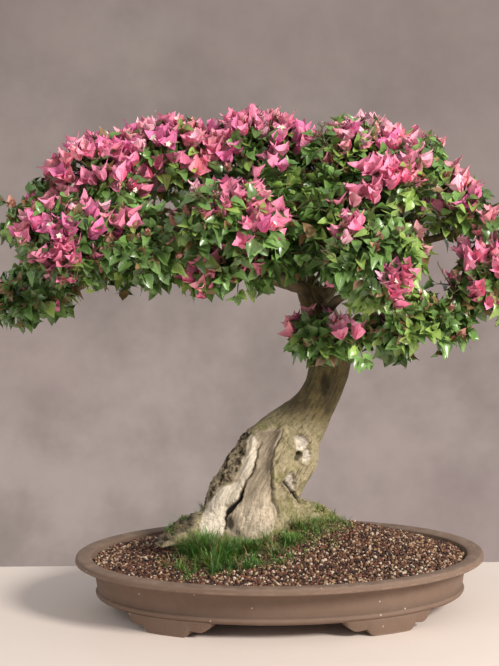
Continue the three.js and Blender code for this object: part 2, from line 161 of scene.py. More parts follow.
class CrownSettings(bpy.types.PropertyGroup):
    """Sizes, numbers and colours of the leaves and bracts."""

    shoots: count("Shoots", "How many shoots each mass of foliage has", 21)
    twigs: count("Side twigs", "How many side twigs each shoot has", 4)
    leaf_length: length("Leaf length", "Length of a full-grown leaf", 0.0258)
    bract_length: length("Bract length", "Length of a full-grown bract", 0.0268)
    leaf: colour("Leaf", "Colour of a full-grown leaf", (0.146, 0.274, 0.064))
    bract: colour("Bract", "Colour of a fresh bract", (0.840, 0.268, 0.415))


class StageSettings(bpy.types.PropertyGroup):
    """Colours of the table and the backdrop, and the strength of the light."""

    table: colour("Table", "Colour of the table", (0.80, 0.69, 0.62))
    backdrop: colour("Backdrop", "Colour behind the table", (0.356, 0.290, 0.262))
    key: light("Key light", "Power of the key light", 138.0)
    fill: light("Fill light", "Strength of the light all round", 0.53)


# Points, curves and noise


def placed(points):
    """Points in millimetres round the pot's middle, as points of the frame."""
    return (np.asarray(points, float) + POT_OFFSET) * MM


def unit(vectors):
    vectors = np.asarray(vectors, float)
    return vectors / np.maximum(np.linalg.norm(vectors, axis=-1, keepdims=True), 1e-9)


def smoothstep(low, high, values):
    t = np.clip((values - low) / (high - low), 0, 1)
    return t * t * (3 - 2 * t)


def lattice_noise(points, seed):
    """Smooth noise from -1 to 1, with about one bump to a unit."""
    cell = np.floor(points).astype(np.int64)
    inside = points - cell
    blend = inside * inside * (3 - 2 * inside)
    total = np.zeros(len(points))
    for corner in itertools.product((0, 1), repeat=3):
        x, y, z = (cell + corner).T
        mixed = (x * 374761393 + y * 668265263 + z * 1440662683 + seed * 974711) & 0xFFFFFFFF
        mixed = ((mixed ^ (mixed >> 13)) * 1274126177) & 0xFFFFFFFF
        value = ((mixed ^ (mixed >> 16)) & 0xFFFF) / 32767.5 - 1
        total += value * np.prod(np.where(corner, blend, 1 - blend), axis=1)
    return total


class Path:
    """A line through many points, read by the share of its length."""

    def __init__(self, points):
        self.points = np.asarray(points, float)
        steps = np.linalg.norm(np.diff(self.points, axis=0), axis=1)
        self.run = np.concatenate([[0], np.cumsum(steps)])
        self.length = self.run[-1]

    def at(self, share):
        along = np.asarray(share, float) * self.length
        return np.stack([np.interp(along, self.run, self.points[:, i]) for i in range(3)], axis=-1)

    def heading(self, share):
        return unit(self.at(min(share + 0.005, 1)) - self.at(max(share - 0.005, 0)))


def catmull_rom(points, samples):
    """A centripetal Catmull-Rom curve, sampled evenly in its parameter."""
    points = np.asarray(points, float)
    points = np.vstack([2 * points[0] - points[1], points, 2 * points[-1] - points[-2]])
    places = np.linspace(0, len(points) - 3, samples)
    line = []
    for place in places:
        i = min(int(place), len(points) - 4)
        t = place - i
        p0, p1, p2, p3 = points[i : i + 4]
        d0, d1, d2 = (np.linalg.norm(b - a) ** 0.5 for a, b in ((p0, p1), (p1, p2), (p2, p3)))
        out = ((p1 - p0) / d0 - (p2 - p0) / (d0 + d1) + (p2 - p1) / d1) * d1
        into = ((p2 - p1) / d1 - (p3 - p1) / (d1 + d2) + (p3 - p2) / d2) * d1
        bend = -3 * p1 + 3 * p2 - 2 * out - into
        line.append(p1 + out * t + bend * t**2 + (2 * p1 - 2 * p2 + out + into) * t**3)
    return np.array(line)


def bezier(corners, samples):
    """A Bezier curve of any number of corners."""
    t = np.linspace(0, 1, samples)[:, None]
    order = len(corners) - 1
    weights = [math.comb(order, i) * t**i * (1 - t) ** (order - i) for i in range(order + 1)]
    return sum(weight * np.asarray(corner, float) for weight, corner in zip(weights, corners))


def line_distance(points, line):
    """How far points of a plane lie from a line of several corners."""
    best = np.full(len(points), np.inf)
    for a, b in zip(line[:-1], line[1:]):
        a, b = np.asarray(a, float), np.asarray(b, float)
        t = np.clip((points - a) @ (b - a) / max((b - a) @ (b - a), 1e-9), 0, 1)
        best = np.minimum(best, np.linalg.norm(points - a - t[:, None] * (b - a), axis=1))
    return best


def outline_distance(points, outline):
    """How far points of a plane lie outside an outline, and less than nothing inside it."""
    closed = list(outline) + [outline[0]]
    inside = np.zeros(len(points), bool)
    for (ax, ay), (bx, by) in zip(closed[:-1], closed[1:]):
        crosses = (ay > points[:, 1]) != (by > points[:, 1])
        at = ax + (points[:, 1] - ay) * (bx - ax) / (by - ay if by != ay else 1e-9)
        inside ^= crosses & (points[:, 0] < at)
    away = line_distance(points, closed)
    return np.where(inside, -away, away)


# Objects and meshes


def deselect_all():
    if bpy.context.object and bpy.context.object.mode != "OBJECT":
        bpy.ops.object.mode_set(mode="OBJECT")
    bpy.ops.object.select_all(action="DESELECT")


def take_up(piece):
    deselect_all()
    piece.select_set(True)
    bpy.context.view_layer.objects.active = piece


def new_piece(name):
    """The primitive that was just added, under its own name."""
    piece = bpy.context.object
    piece.name = name
    piece.data.name = name
    return piece


def settle(piece):
    """Puts a piece's place and turn in its mesh."""
    take_up(piece)
    bpy.ops.object.transform_apply(location=True, rotation=True, scale=True)


def apply_modifier(piece, kind, **settings):
    take_up(piece)
    modifier = piece.modifiers.new(kind.title(), kind)
    for key, value in settings.items():
        setattr(modifier, key, value)
    bpy.ops.object.modifier_apply(modifier=modifier.name)


def read_points(mesh, kind="co"):
    """A mesh's points, or their normals."""
    flat = np.empty(len(mesh.vertices) * 3)
    mesh.vertices.foreach_get(kind, flat)
    return flat.reshape(-1, 3)


def write_points(mesh, points):
    mesh.vertices.foreach_set("co", np.asarray(points, float).ravel())
    mesh.update()


def smooth_shade(piece, degrees=None):
    take_up(piece)
    if degrees is None:
        bpy.ops.object.shade_smooth()
    else:
        bpy.ops.object.shade_smooth_by_angle(angle=math.radians(degrees))


def array_piece(name, points, faces, uv=None):
    """A joined piece from arrays: points of the frame, faces of one size and each point's own UV."""
    faces = np.asarray(faces)
    mesh = bpy.data.meshes.new(name)
    mesh.vertices.add(len(points))
    mesh.vertices.foreach_set("co", np.asarray(points, float).ravel())
    mesh.loops.add(faces.size)
    mesh.loops.foreach_set("vertex_index", faces.ravel())
    mesh.polygons.add(len(faces))
    mesh.polygons.foreach_set("loop_start", np.arange(len(faces)) * faces.shape[1])
    mesh.update(calc_edges=True)
    if uv is not None:
        layer = mesh.uv_layers.new(name="UVMap")
        layer.data.foreach_set("uv", np.asarray(uv, float)[faces.ravel()].ravel())
    mesh.shade_smooth()
    mesh.validate()
    piece = bpy.data.objects.new(name, mesh)
    bpy.context.scene.collection.objects.link(piece)
    return piece


def set_attribute(piece, name, values):
    values = np.asarray(values, float)
    kind = "FLOAT" if values.ndim == 1 else "FLOAT_VECTOR"
    layer = piece.data.attributes.new(name, kind, "POINT")
    layer.data.foreach_set("value" if values.ndim == 1 else "vector", values.ravel())


def face_outwards():
    """Turns all normals outwards and leaves edit mode."""
    bpy.ops.mesh.select_all(action="SELECT")
    bpy.ops.mesh.normals_make_consistent(inside=False)
    bpy.ops.object.mode_set(mode="OBJECT")


def merged_copy(node, name):
    """A copy of a CAD node under a new name, with its doubled points merged."""
    piece = bpy.data.objects.new(name, frame["nodes"][node].data.copy())
    bpy.context.scene.collection.objects.link(piece)
    piece.data.name = name
    take_up(piece)
    bpy.ops.object.mode_set(mode="EDIT")
    bpy.ops.mesh.select_all(action="SELECT")
    bpy.ops.mesh.remove_doubles(threshold=MERGE_REACH)
    bpy.ops.object.mode_set(mode="OBJECT")
    return piece


def finish(piece, material, slot, *nodes):
    """Gives a piece its material and its place in the frame."""
    piece.data.materials.clear()
    piece.data.materials.append(material)
    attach(piece, "root")
    if nodes:
        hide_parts(*nodes)
    return piece


def tubes(lines, sides):
    """Points and faces of tapering tubes: each a line, its radii, and closed ends."""
    points, faces, start = [], [], 0
    turn = np.arange(sides) * 2 * math.pi / sides
    for line, radii in lines:
        line = np.asarray(line, float)
        along = unit(np.gradient(line, axis=0))
        side = np.cross(UP, along)
        side[np.linalg.norm(side, axis=1) < 0.05] = (1, 0, 0)
        side = unit(side)
        lift = np.cross(along, side)
        ring = side[:, None] * np.cos(turn)[None, :, None] + lift[:, None] * np.sin(turn)[None, :, None]
        points.append((line[:, None] + ring * np.asarray(radii)[:, None, None]).reshape(-1, 3))
        points.append(line[[0, -1]])
        rows = len(line)
        first = start + np.arange(rows - 1)[:, None] * sides
        here, after = np.arange(sides), (np.arange(sides) + 1) % sides
        quads = np.stack([first + here, first + after, first + sides + after, first + sides + here], -1)
        faces.append(quads[..., [0, 1, 2]].reshape(-1, 3))
        faces.append(quads[..., [0, 2, 3]].reshape(-1, 3))
        root, tip = start + rows * sides, start + rows * sides + 1
        last = start + (rows - 1) * sides
        faces.append(np.stack([np.full(sides, root), start + after, start + here], -1))
        faces.append(np.stack([np.full(sides, tip), last + here, last + after], -1))
        start += rows * sides + 2
    return np.vstack(points), np.vstack(faces)


# Materials


def add(tree, kind, inputs=None, **settings):
    """A shader node, with settings on it and values or links on its inputs."""
    made = tree.nodes.new("ShaderNode" + kind)
    for key, value in settings.items():
        setattr(made, key, value)
    for key, value in (inputs or {}).items():
        if isinstance(value, bpy.types.NodeSocket):
            tree.links.new(value, made.inputs[key])
        else:
            made.inputs[key].default_value = value
    return made


def rgba(value):
    return value if isinstance(value, bpy.types.NodeSocket) else (*value[:3], 1)


def mix(tree, factor, a, b):
    inputs = {0: factor, 6: rgba(a), 7: rgba(b)}
    return add(tree, "Mix", inputs, data_type="RGBA").outputs[2]


def calc(tree, operation, a, b=0.5):
    return add(tree, "Math", {0: a, 1: b}, operation=operation).outputs[0]


def times(tree, a, b):
    return calc(tree, "MULTIPLY", a, b)


def stain(tree, base, mask, amount, tone):
    """A colour with another laid over it, by a mask times an amount."""
    return mix(tree, times(tree, mask, amount), base, tone)


def attribute(tree, name):
    return add(tree, "Attribute", attribute_name=name).outputs["Fac"]


def spread(tree, value, low, high, out_low=0.0, out_high=1.0):
    """A value moved from one range to another, smoothly and within its ends."""
    inputs = {"Value": value, "From Min": low, "From Max": high, "To Min": out_low, "To Max": out_high}
    return add(tree, "MapRange", inputs, interpolation_type="SMOOTHSTEP").outputs[0]


def noise(tree, vector, scale, detail, roughness=0.55):
    inputs = {"Vector": vector, "Scale": scale, "Detail": detail, "Roughness": roughness}
    return add(tree, "TexNoise", inputs).outputs["Fac"]


def object_place(tree):
    return add(tree, "TexCoord").outputs["Object"]


def new_material(name):
    material = bpy.data.materials.new(name)
    material.use_nodes = True
    return material, material.node_tree, material.node_tree.nodes["Principled BSDF"]


def surface(tree, shader, base, roughness):
    tree.links.new(base, shader.inputs["Base Color"])
    tree.links.new(roughness, shader.inputs["Roughness"])


def relief(tree, shader, height, distance, strength):
    bump = add(tree, "Bump", {"Height": height, "Distance": distance, "Strength": strength})
    tree.links.new(bump.outputs["Normal"], shader.inputs["Normal"])


def new_group(name, numbers, results, by_place):
    """A shader node group, what it is given and what it makes."""
    group = bpy.data.node_groups.new(name, "ShaderNodeTree")
    if by_place:
        group.interface.new_socket("Vector", in_out="INPUT", socket_type="NodeSocketVector")
    for label, value in numbers.items():
        socket = group.interface.new_socket(label, in_out="INPUT", socket_type="NodeSocketFloat")
        socket.default_value = value
    for label in results:
        group.interface.new_socket(label, in_out="OUTPUT", socket_type="NodeSocketFloat")
    given = group.nodes.new("NodeGroupInput").outputs
    made = group.nodes.new("NodeGroupOutput").inputs
    return group, given, made


@functools.cache
def mottle_group():
    """Soft blotches of two sizes, as a mask."""
    group, given, made = new_group("soft_mottle", {"Scale": 20.0, "Contrast": 0.25}, ["Mask"], True)
    coarse = noise(group, given["Vector"], given["Scale"], 3.0)
    fine = noise(group, given["Vector"], times(group, given["Scale"], 6.3), 3.0)
    both = calc(group, "ADD", times(group, coarse, 0.65), times(group, fine, 0.35))
    low = calc(group, "SUBTRACT", 0.5, given["Contrast"])
    high = calc(group, "ADD", 0.5, given["Contrast"])
    group.links.new(spread(group, both, low, high), made["Mask"])
    return group


@functools.cache
def speck_group():
    """Small scattered specks, as a mask."""
    numbers = {"Scale": 300.0, "Size": 0.2, "Share": 0.5}
    group, given, made = new_group("fine_specks", numbers, ["Mask"], True)
    cells = add(group, "TexVoronoi", {"Vector": given["Vector"], "Scale": given["Scale"]})
    near = calc(group, "LESS_THAN", cells.outputs["Distance"], given["Size"])
    picked = add(group, "SeparateColor", {"Color": cells.outputs["Color"]}).outputs[0]
    some = calc(group, "LESS_THAN", picked, given["Share"])
    group.links.new(times(group, near, some), made["Mask"])
    return group


@functools.cache
def fibre_group():
    """Long fibres along the grain of wood or bark, as a height and a mask of the furrows."""
    numbers = {"Across": 160.0, "Stretch": 0.12}
    group, given, made = new_group("wood_fibres", numbers, ["Height", "Furrows"], False)
    grain = add(group, "Attribute", attribute_name="grain").outputs["Vector"]
    shrink = add(group, "CombineXYZ", {"X": 1.0, "Y": 1.0, "Z": given["Stretch"]})
    drawn = add(group, "VectorMath", {0: grain, 1: shrink.outputs[0]}, operation="MULTIPLY").outputs[0]
    broad = noise(group, drawn, given["Across"], 5.0, 0.62)
    thin = noise(group, drawn, times(group, given["Across"], 3.4), 3.0, 0.6)
    both = calc(group, "ADD", times(group, broad, 0.62), times(group, thin, 0.38))
    group.links.new(both, made["Height"])
    group.links.new(spread(group, both, 0.49, 0.36), made["Furrows"])
    return group


def mottle(tree, place, scale, contrast=0.25):
    inputs = {"Vector": place, "Scale": scale, "Contrast": contrast}
    return add(tree, "Group", inputs, node_tree=mottle_group()).outputs["Mask"]


def specks(tree, place, scale, size, share):
    inputs = {"Vector": place, "Scale": scale, "Size": size, "Share": share}
    return add(tree, "Group", inputs, node_tree=speck_group()).outputs["Mask"]


def fibres(tree, across, stretch):
    """Height and furrows of the fibres along the grain."""
    made = add(tree, "Group", {"Across": across, "Stretch": stretch}, node_tree=fibre_group())
    return made.outputs["Height"], made.outputs["Furrows"]


def darker(value, share):
    return tuple(channel * share for channel in value[:3])


def clay_material(settings):
    """Unglazed clay with fine grit, pale specks and a little dust, paler on its worn edges, with a painted
    highlight on the rim's edges and the band and painted shade along the groove.
    """
    material, tree, shader = new_material("unglazed_clay")
    place = object_place(tree)
    blotches = mottle(tree, place, 9.0, 0.22)
    grit = specks(tree, place, 420.0, 0.26, 0.35)
    flecks = specks(tree, place, 75.0, 0.07, 0.4)
    # Wear together with painted highlight: the edge mask pales the rim's edges, the band and the soles
    rubbed_and_lit = spread(tree, attribute(tree, "edge"), 0.1, 1.0)
    uneven = noise(tree, place, 60.0, 4.0)
    base = stain(tree, settings.clay, blotches, 0.35, settings.clay_pale)
    base = stain(tree, base, rubbed_and_lit, spread(tree, uneven, 0.35, 0.7), settings.clay_pale)
    # Painted shade along the groove over the lower band
    groove = attribute(tree, "groove")
    base = stain(tree, base, groove, 0.6, darker(settings.clay, 0.35))
    base = stain(tree, base, grit, 0.30, darker(settings.clay, 0.45))
    base = stain(tree, base, flecks, 0.8, (0.62, 0.55, 0.47))
    surface(tree, shader, base, spread(tree, uneven, 0.3, 0.7, 0.62, 0.82))
    shader.inputs["Specular IOR Level"].default_value = 0.35
    fine = noise(tree, place, 700.0, 3.0, 0.6)
    height = calc(tree, "SUBTRACT", fine, times(tree, grit, 0.5))
    relief(tree, shader, height, 0.0006, 0.55)
    return material


def ground_material(settings):
    """Dark crumbly earth, seen between the grains."""
    material, tree, shader = new_material("dark_earth")
    place = object_place(tree)
    crumbs = add(tree, "TexVoronoi", {"Vector": place, "Scale": 260.0}).outputs["Distance"]
    patches = mottle(tree, place, 40.0, 0.2)
    base = mix(tree, patches, darker(settings.soil, 0.55), settings.soil)
    surface(tree, shader, base, spread(tree, patches, 0.0, 1.0, 0.85, 0.97))
    relief(tree, shader, crumbs, 0.003, 0.9)
    return material


def grain_material(name, base_colour):
    """One colour of soil grains, each a little rough and uneven."""
    material, tree, shader = new_material(name)
    place = object_place(tree)
    uneven = mottle(tree, place, 150.0, 0.3)
    base = mix(tree, uneven, darker(base_colour, 0.62), darker(base_colour, 1.25))
    surface(tree, shader, base, spread(tree, uneven, 0.0, 1.0, 0.72, 0.92))
    relief(tree, shader, noise(tree, place, 1500.0, 3.0), 0.0004, 0.7)
    return material


def moss_material(settings):
    """A moss cushion: green tips over brown dead moss."""
    material, tree, shader = new_material("moss_cushion")
    place = object_place(tree)
    patches = mottle(tree, place, 28.0, 0.16)
    fuzz = noise(tree, place, 900.0, 4.0, 0.7)
    base = mix(tree, patches, (0.150, 0.098, 0.042), settings.moss)
    base = mix(tree, spread(tree, fuzz, 0.35, 0.65), darker(settings.moss, 0.35), base)
    surface(tree, shader, base, spread(tree, fuzz, 0.3, 0.7, 0.98, 0.8))
    relief(tree, shader, fuzz, 0.0025, 1.0)
    return material


def grass_material(name, base_colour):
    """Grass of one colour, paler towards the tips."""
    material, tree, shader = new_material(name)
    uv = add(tree, "SeparateXYZ", {"Vector": add(tree, "UVMap", uv_map="UVMap").outputs[0]})
    uneven = mottle(tree, object_place(tree), 60.0)
    base = mix(tree, uv.outputs["X"], darker(base_colour, 0.5), darker(base_colour, 1.25))
    base = stain(tree, base, uneven, 0.4, darker(base_colour, 0.6))
    surface(tree, shader, base, spread(tree, uneven, 0.0, 1.0, 0.45, 0.6))
    return material


def bark_material(settings):
    """The trunk: live bark with moss specks, bare weathered wood and pale scars, and painted shade in its
    cracks and hollows.
    """
    material, tree, shader = new_material("old_trunk")
    place = object_place(tree)
    ridges, furrows = fibres(tree, 270.0, 0.07)
    crests = spread(tree, ridges, 0.52, 0.66)
    patches = mottle(tree, place, 70.0, 0.08)
    broad = mottle(tree, place, 18.0, 0.12)
    crumbs = mottle(tree, place, 330.0, 0.11)
    green = (0.150, 0.155, 0.050)
    low = mix(tree, crumbs, darker(settings.live, 0.72), darker(settings.live, 1.15))
    low = stain(tree, low, patches, 0.62, (0.235, 0.240, 0.070))
    lichen = mottle(tree, place, 38.0, 0.07)
    low = stain(tree, low, lichen, 0.5, (0.660, 0.530, 0.370))
    shaded = mottle(tree, place, 27.0, 0.09)
    low = stain(tree, low, shaded, 0.36, (0.150, 0.135, 0.050))
    pits = spread(tree, noise(tree, place, 300.0, 4.0, 0.65), 0.42, 0.30)
    low = stain(tree, low, pits, 0.8, (0.080, 0.062, 0.026))
    high = mix(tree, patches, darker(settings.upper, 0.6), darker(settings.upper, 1.35))
    high = stain(tree, high, crests, 0.5, (0.300, 0.255, 0.110))
    high = stain(tree, high, broad, 0.3, green)
    live = mix(tree, attribute(tree, "high"), low, high)
    live = stain(tree, live, furrows, 0.7, darker(settings.upper, 0.35))
    lumpy = spread(tree, noise(tree, place, 130.0, 5.0, 0.7), 0.40, 0.60)
    scaly = mix(tree, lumpy, (0.035, 0.024, 0.014), (0.42, 0.335, 0.215))
    live = mix(tree, attribute(tree, "rough"), live, scaly)
    moss = mix(tree, crumbs, (0.060, 0.075, 0.018), (0.250, 0.240, 0.075))
    tufts = spread(tree, noise(tree, place, 75.0, 4.0, 0.6), 0.36, 0.52)
    live = stain(tree, live, attribute(tree, "mossy"), tufts, moss)
    bare = mix(tree, patches, darker(settings.dead, 0.86), darker(settings.dead, 1.15))
    worn = mix(tree, broad, (0.345, 0.275, 0.190), (0.450, 0.365, 0.260))
    bare = mix(tree, attribute(tree, "grey"), bare, worn)
    bare = stain(tree, bare, attribute(tree, "band"), 0.80, (0.970, 0.855, 0.690))
    bare = stain(tree, bare, spread(tree, ridges, 0.54, 0.40), 0.42, (0.200, 0.150, 0.100))
    bare = stain(tree, bare, furrows, 0.34, (0.150, 0.108, 0.066))
    bare = stain(tree, bare, crests, 0.35, darker(settings.dead, 1.3))
    base = mix(tree, attribute(tree, "dead"), live, bare)
    healed = mix(tree, crumbs, darker(settings.scar, 0.62), darker(settings.scar, 1.1))
    base = mix(tree, attribute(tree, "scar"), base, healed)
    # Painted shade: near black where the dark mask lies, in the trunk's cracks, recess and hollow
    base = mix(tree, attribute(tree, "dark"), base, (0.020, 0.014, 0.009))
    surface(tree, shader, base, spread(tree, patches, 0.0, 1.0, 0.7, 0.92))
    shader.inputs["Specular IOR Level"].default_value = 0.3
    height = calc(tree, "ADD", ridges, times(tree, crumbs, 0.25))
    relief(tree, shader, height, 0.0030, 0.9)
    return material


def limb_material(name, base_colour, across):
    """Bark of the boughs and twigs, furrowed along their length."""
    material, tree, shader = new_material(name)
    place = object_place(tree)
    ridges, furrows = fibres(tree, across, 0.3)
    patches = mottle(tree, place, 45.0, 0.15)
    base = mix(tree, patches, darker(base_colour, 0.6), darker(base_colour, 1.4))
    base = stain(tree, base, furrows, 0.6, darker(base_colour, 0.3))
    surface(tree, shader, base, spread(tree, patches, 0.0, 1.0, 0.7, 0.9))
    relief(tree, shader, ridges, 0.0015, 0.7)
    return material


def blade_material(name, base_colour, vein_colour, roughness, vein, coat=0.0):
    """A leaf or bract: a paler midrib and side veins from its UV, and soft blotches."""
    material, tree, shader = new_material(name)
    uv = add(tree, "SeparateXYZ", {"Vector": add(tree, "UVMap", uv_map="UVMap").outputs[0]})
    along, across = uv.outputs["X"], calc(tree, "ABSOLUTE", calc(tree, "SUBTRACT", uv.outputs["Y"], 0.5))
    midrib = spread(tree, across, 0.045, 0.0)
    slant = calc(tree, "SUBTRACT", along, times(tree, across, 0.75))
    waves = calc(tree, "ABSOLUTE", calc(tree, "SINE", times(tree, slant, 19.0)))
    side_veins = spread(tree, waves, 0.2, 0.0)
    veins = calc(tree, "MAXIMUM", midrib, times(tree, side_veins, 0.5))
    uneven = mottle(tree, object_place(tree), 24.0, 0.2)
    base = mix(tree, uneven, darker(base_colour, 0.72), darker(base_colour, 1.28))
    base = stain(tree, base, veins, vein, vein_colour)
    surface(tree, shader, base, spread(tree, uneven, 0.0, 1.0, roughness - 0.05, roughness + 0.08))
    shader.inputs["Coat Weight"].default_value = coat
    shader.inputs["Coat Roughness"].default_value = 0.25
    puffed = calc(tree, "SUBTRACT", times(tree, uneven, 0.3), veins)
    relief(tree, shader, puffed, 0.0008, 0.6)
    return material


# The pot: an oval with an even wall, read from its rings' insets


def ring_half_sizes(settings, inset):
    """Half length and half width of the ring that lies an even inset within the rim's edge."""
    a = settings.half_length - inset
    across = settings.half_length - settings.half_width
    return (a, a - across) if a >= EVEN_WALL else (a, a * (EVEN_WALL - across) / EVEN_WALL)


def select_border(mesh):
    """Selects the open border of a mesh in edit mode."""
    editing = bmesh.from_edit_mesh(mesh)
    for face in editing.faces:
        face.select_set(False)
    for edge in editing.edges:
        edge.select_set(edge.is_boundary)
    bmesh.update_edit_mesh(mesh)


# The pot's rings from its underside over the rim to its floor: inset from the rim's edge, and height
POT_RINGS = [
    (0.0310, 0.0190), (0.0280, 0.0197), (0.0256, 0.0213), (0.0243, 0.0234), (0.0240, 0.0256),
    (0.0246, 0.0270), (0.0260, 0.0282), (0.0261, 0.0300), (0.0252, 0.0370), (0.0242, 0.0430),
    (0.0230, 0.0480), (0.0208, 0.0530), (0.0184, 0.0565), (0.0160, 0.0587), (0.0120, 0.0600),
    (0.0060, 0.0606), (0.0026, 0.0612), (0.0006, 0.0624), (0.0000, 0.0640), (0.0004, 0.0668),
    (0.0010, 0.0686), (0.0024, 0.0697), (0.0050, 0.0700), (0.0150, 0.0693), (0.0188, 0.0689),
    (0.0200, 0.0681), (0.0205, 0.0660), (0.0206, 0.0625), (0.0350, 0.0575), (0.0380, 0.0310),
    (0.0420, 0.0270),
]
FLOOR_RING = (0.120, 0.0270)
# Heights of the rim's two edges, of the lip's base, of the lower band and of the groove over it
RIM_EDGES = (0.0640, 0.0699)
LIP_BASE, BAND, GROOVE = 0.060, 0.0250, 0.0288
# The feet: their bearings, and their lower edge as degrees from the middle and share of the ledge
FOOT_BEARINGS = (53, 127, 233, 307)
FOOT_EDGE = [
    (0, 0), (6.5, 0), (7.4, 0.07), (8.2, 0.30), (8.8, 0.72), (9.2, 1.0),
    (12.2, 0.84), (13.4, 0.9), (14.6, 1.12), (15.6, 1.5), (16.4, 1.95), (17, 2.36),
]
# How high a foot's ledge is, the inset of its outer face, and the half length from which smaller rings
# keep one form
FOOT_LEDGE = 0.00882
FOOT_RING = 0.0250
EVEN_WALL = 0.190
# How far the marks reach: from the rim's edges wear with a painted highlight, from the band a painted
# highlight, from the groove painted shade, and from the soles wear and dust
RIM_WEAR_AND_HIGHLIGHT, BAND_HIGHLIGHT, GROOVE_SHADE_WIDTH, SOLE_WEAR = 0.0024, 0.0022, 0.0020, 0.004
FOOT_DEPTH = 0.023


def build_pot(settings):
    sides = 144
    middle = placed((0, 0, 0))
    a, b = ring_half_sizes(settings, FLOOR_RING[0])
    deselect_all()
    bpy.ops.mesh.primitive_circle_add(
        vertices=sides, radius=1, fill_type="TRIFAN", location=(middle[0], middle[1], settings.foot_height)
    )
    pot = new_piece("pot_body")
    pot.scale = (a, b, 1)
    settle(pot)
    bpy.ops.object.mode_set(mode="EDIT")
    bpy.ops.mesh.select_mode(type="EDGE")
    size, height = (a, b), settings.foot_height
    for inset, ring_height in POT_RINGS + [FLOOR_RING]:
        select_border(pot.data)
        bpy.ops.mesh.extrude_edges_move(TRANSFORM_OT_translate={"value": (0, 0, ring_height - height)})
        new_size = ring_half_sizes(settings, inset)
        bpy.ops.transform.resize(
            value=(new_size[0] / size[0], new_size[1] / size[1], 1),
            center_override=(middle[0], middle[1], ring_height),
        )
        size, height = new_size, ring_height
    select_border(pot.data)
    bpy.ops.mesh.extrude_edges_move(TRANSFORM_OT_translate={"value": (0, 0, 0)})
    bpy.ops.mesh.merge(type="CENTER")
    face_outwards()
    feet = [build_foot(settings, bearing) for bearing in FOOT_BEARINGS]
    for foot in feet:
        apply_modifier(pot, "BOOLEAN", operation="UNION", object=foot, solver="MANIFOLD")
        bpy.data.objects.remove(foot, do_unlink=True)
    if len(pot.data.polygons) < sides * len(POT_RINGS):
        raise RuntimeError("The pot's body was lost when its feet were joined on")
    heights = read_points(pot.data)[:, 2]
    rim = np.min([abs(heights - edge) for edge in RIM_EDGES], axis=0)
    # The rim's edges are paled for wear together with a painted highlight where they catch the light
    worn = np.clip(1 - rim / RIM_WEAR_AND_HIGHLIGHT, 0, 1) * (heights > LIP_BASE)
    # Painted highlight along the raised band
    band = 0.7 * np.clip(1 - abs(heights - BAND) / BAND_HIGHLIGHT, 0, 1)
    soles = np.clip(1 - heights / SOLE_WEAR, 0, 1)
    # The edge mask pales the clay: wear on the rim's edges and soles, and painted highlight on the rim's
    # edges and the band
    set_attribute(pot, "edge", np.max([worn, band, soles], axis=0))
    # Painted shade along the groove over the band
    set_attribute(pot, "groove", np.clip(1 - abs(heights - GROOVE) / GROOVE_SHADE_WIDTH, 0, 1))
    smooth_shade(pot, 38)
    return finish(pot, clay_material(settings), "pot", "pot")


def build_foot(settings, bearing):
    """A bracket foot with stepped ends, bent along the pot's lower band."""
    columns = 48
    deselect_all()
    bpy.ops.mesh.primitive_grid_add(x_subdivisions=columns, y_subdivisions=5, size=2)
    foot = new_piece("foot")
    points = read_points(foot.data)
    bearings, cuts = np.array(FOOT_EDGE).T
    turn = points[:, 0] * bearings[-1]
    sole = np.interp(abs(turn), bearings, cuts * FOOT_LEDGE)
    top = settings.foot_height + 0.002
    share = (points[:, 1] + 1) / 2
    angle = np.radians(bearing + turn)
    a, b = ring_half_sizes(settings, FOOT_RING)
    lean = 0.003 * (1 - share)
    foot_points = np.stack(
        [(a - lean) * np.cos(angle), (b - lean) * np.sin(angle), sole + share * (top - sole)], axis=1
    )
    write_points(foot.data, foot_points + placed((0, 0, 0)))
    take_up(foot)
    bpy.ops.object.mode_set(mode="EDIT")
    bpy.ops.mesh.select_all(action="SELECT")
    bpy.ops.mesh.extrude_region_move()
    bpy.ops.transform.resize(
        value=(1 - FOOT_DEPTH / settings.half_length, 1 - FOOT_DEPTH / settings.half_width, 1),
        center_override=tuple(placed((0, 0, 0))),
    )
    face_outwards()
    edges = math.radians(50)
    apply_modifier(foot, "BEVEL", width=0.0011, segments=2, limit_method="ANGLE", angle_limit=edges)
    return foot


# The ground: soil grains, moss and grass

SOIL_EDGE = (228.5, 150.5)
# What lies over SOIL_SIDE is the soil's top, and it is sunk by GROUND_SINK under the grains
SOIL_SIDE = 55
GROUND_SINK = 2.4
GRAIN_SHAPES = 6
# Moss and grass stay below these heights on the roots, and a steep place counts as far above them
MOSS_TOP, GRASS_TOP, STEEP = 124, 122, 400


def soil_height(x, y):
    """Height of the mounded soil, which is highest behind the trunk's foot."""
    out = np.minimum(1, np.hypot(x / SOIL_EDGE[0], y / SOIL_EDGE[1]))
    near = np.hypot((x - 25) / SOIL_EDGE[0], (y - 42) / SOIL_EDGE[1])
    return 64 + 33 * np.exp(-1.6 * near**2) * (1 - out**6)


@functools.cache
def node_tree(name):
    """A CAD node's faces, for asking what lies in or over it."""
    mesh = frame["nodes"][name].data
    mesh.calc_loop_triangles()
    corners = [tuple(vertex.co) for vertex in mesh.vertices]
    return BVHTree.FromPolygons(corners, [tuple(tri.vertices) for tri in mesh.loop_triangles])


def depth_in_trunk(point):
    """How far a point lies under the trunk's surface, or 0 outside it."""
    over, normal, _, distance = node_tree("trunk").ray_cast(Vector(point), Vector((0, 0, 1)))
    return distance if over is not None and normal.z > 0 else 0.0


def clear_of_trunk(points, gap):
    """Which points lie at least a gap, in millimetres, outside the trunk."""
    tree = node_tree("trunk")
    result = np.ones(len(points), bool)
    for i, point in enumerate(placed(points)):
        result[i] = tree.find_nearest(Vector(point))[3] > gap * MM and depth_in_trunk(point) == 0
    return result


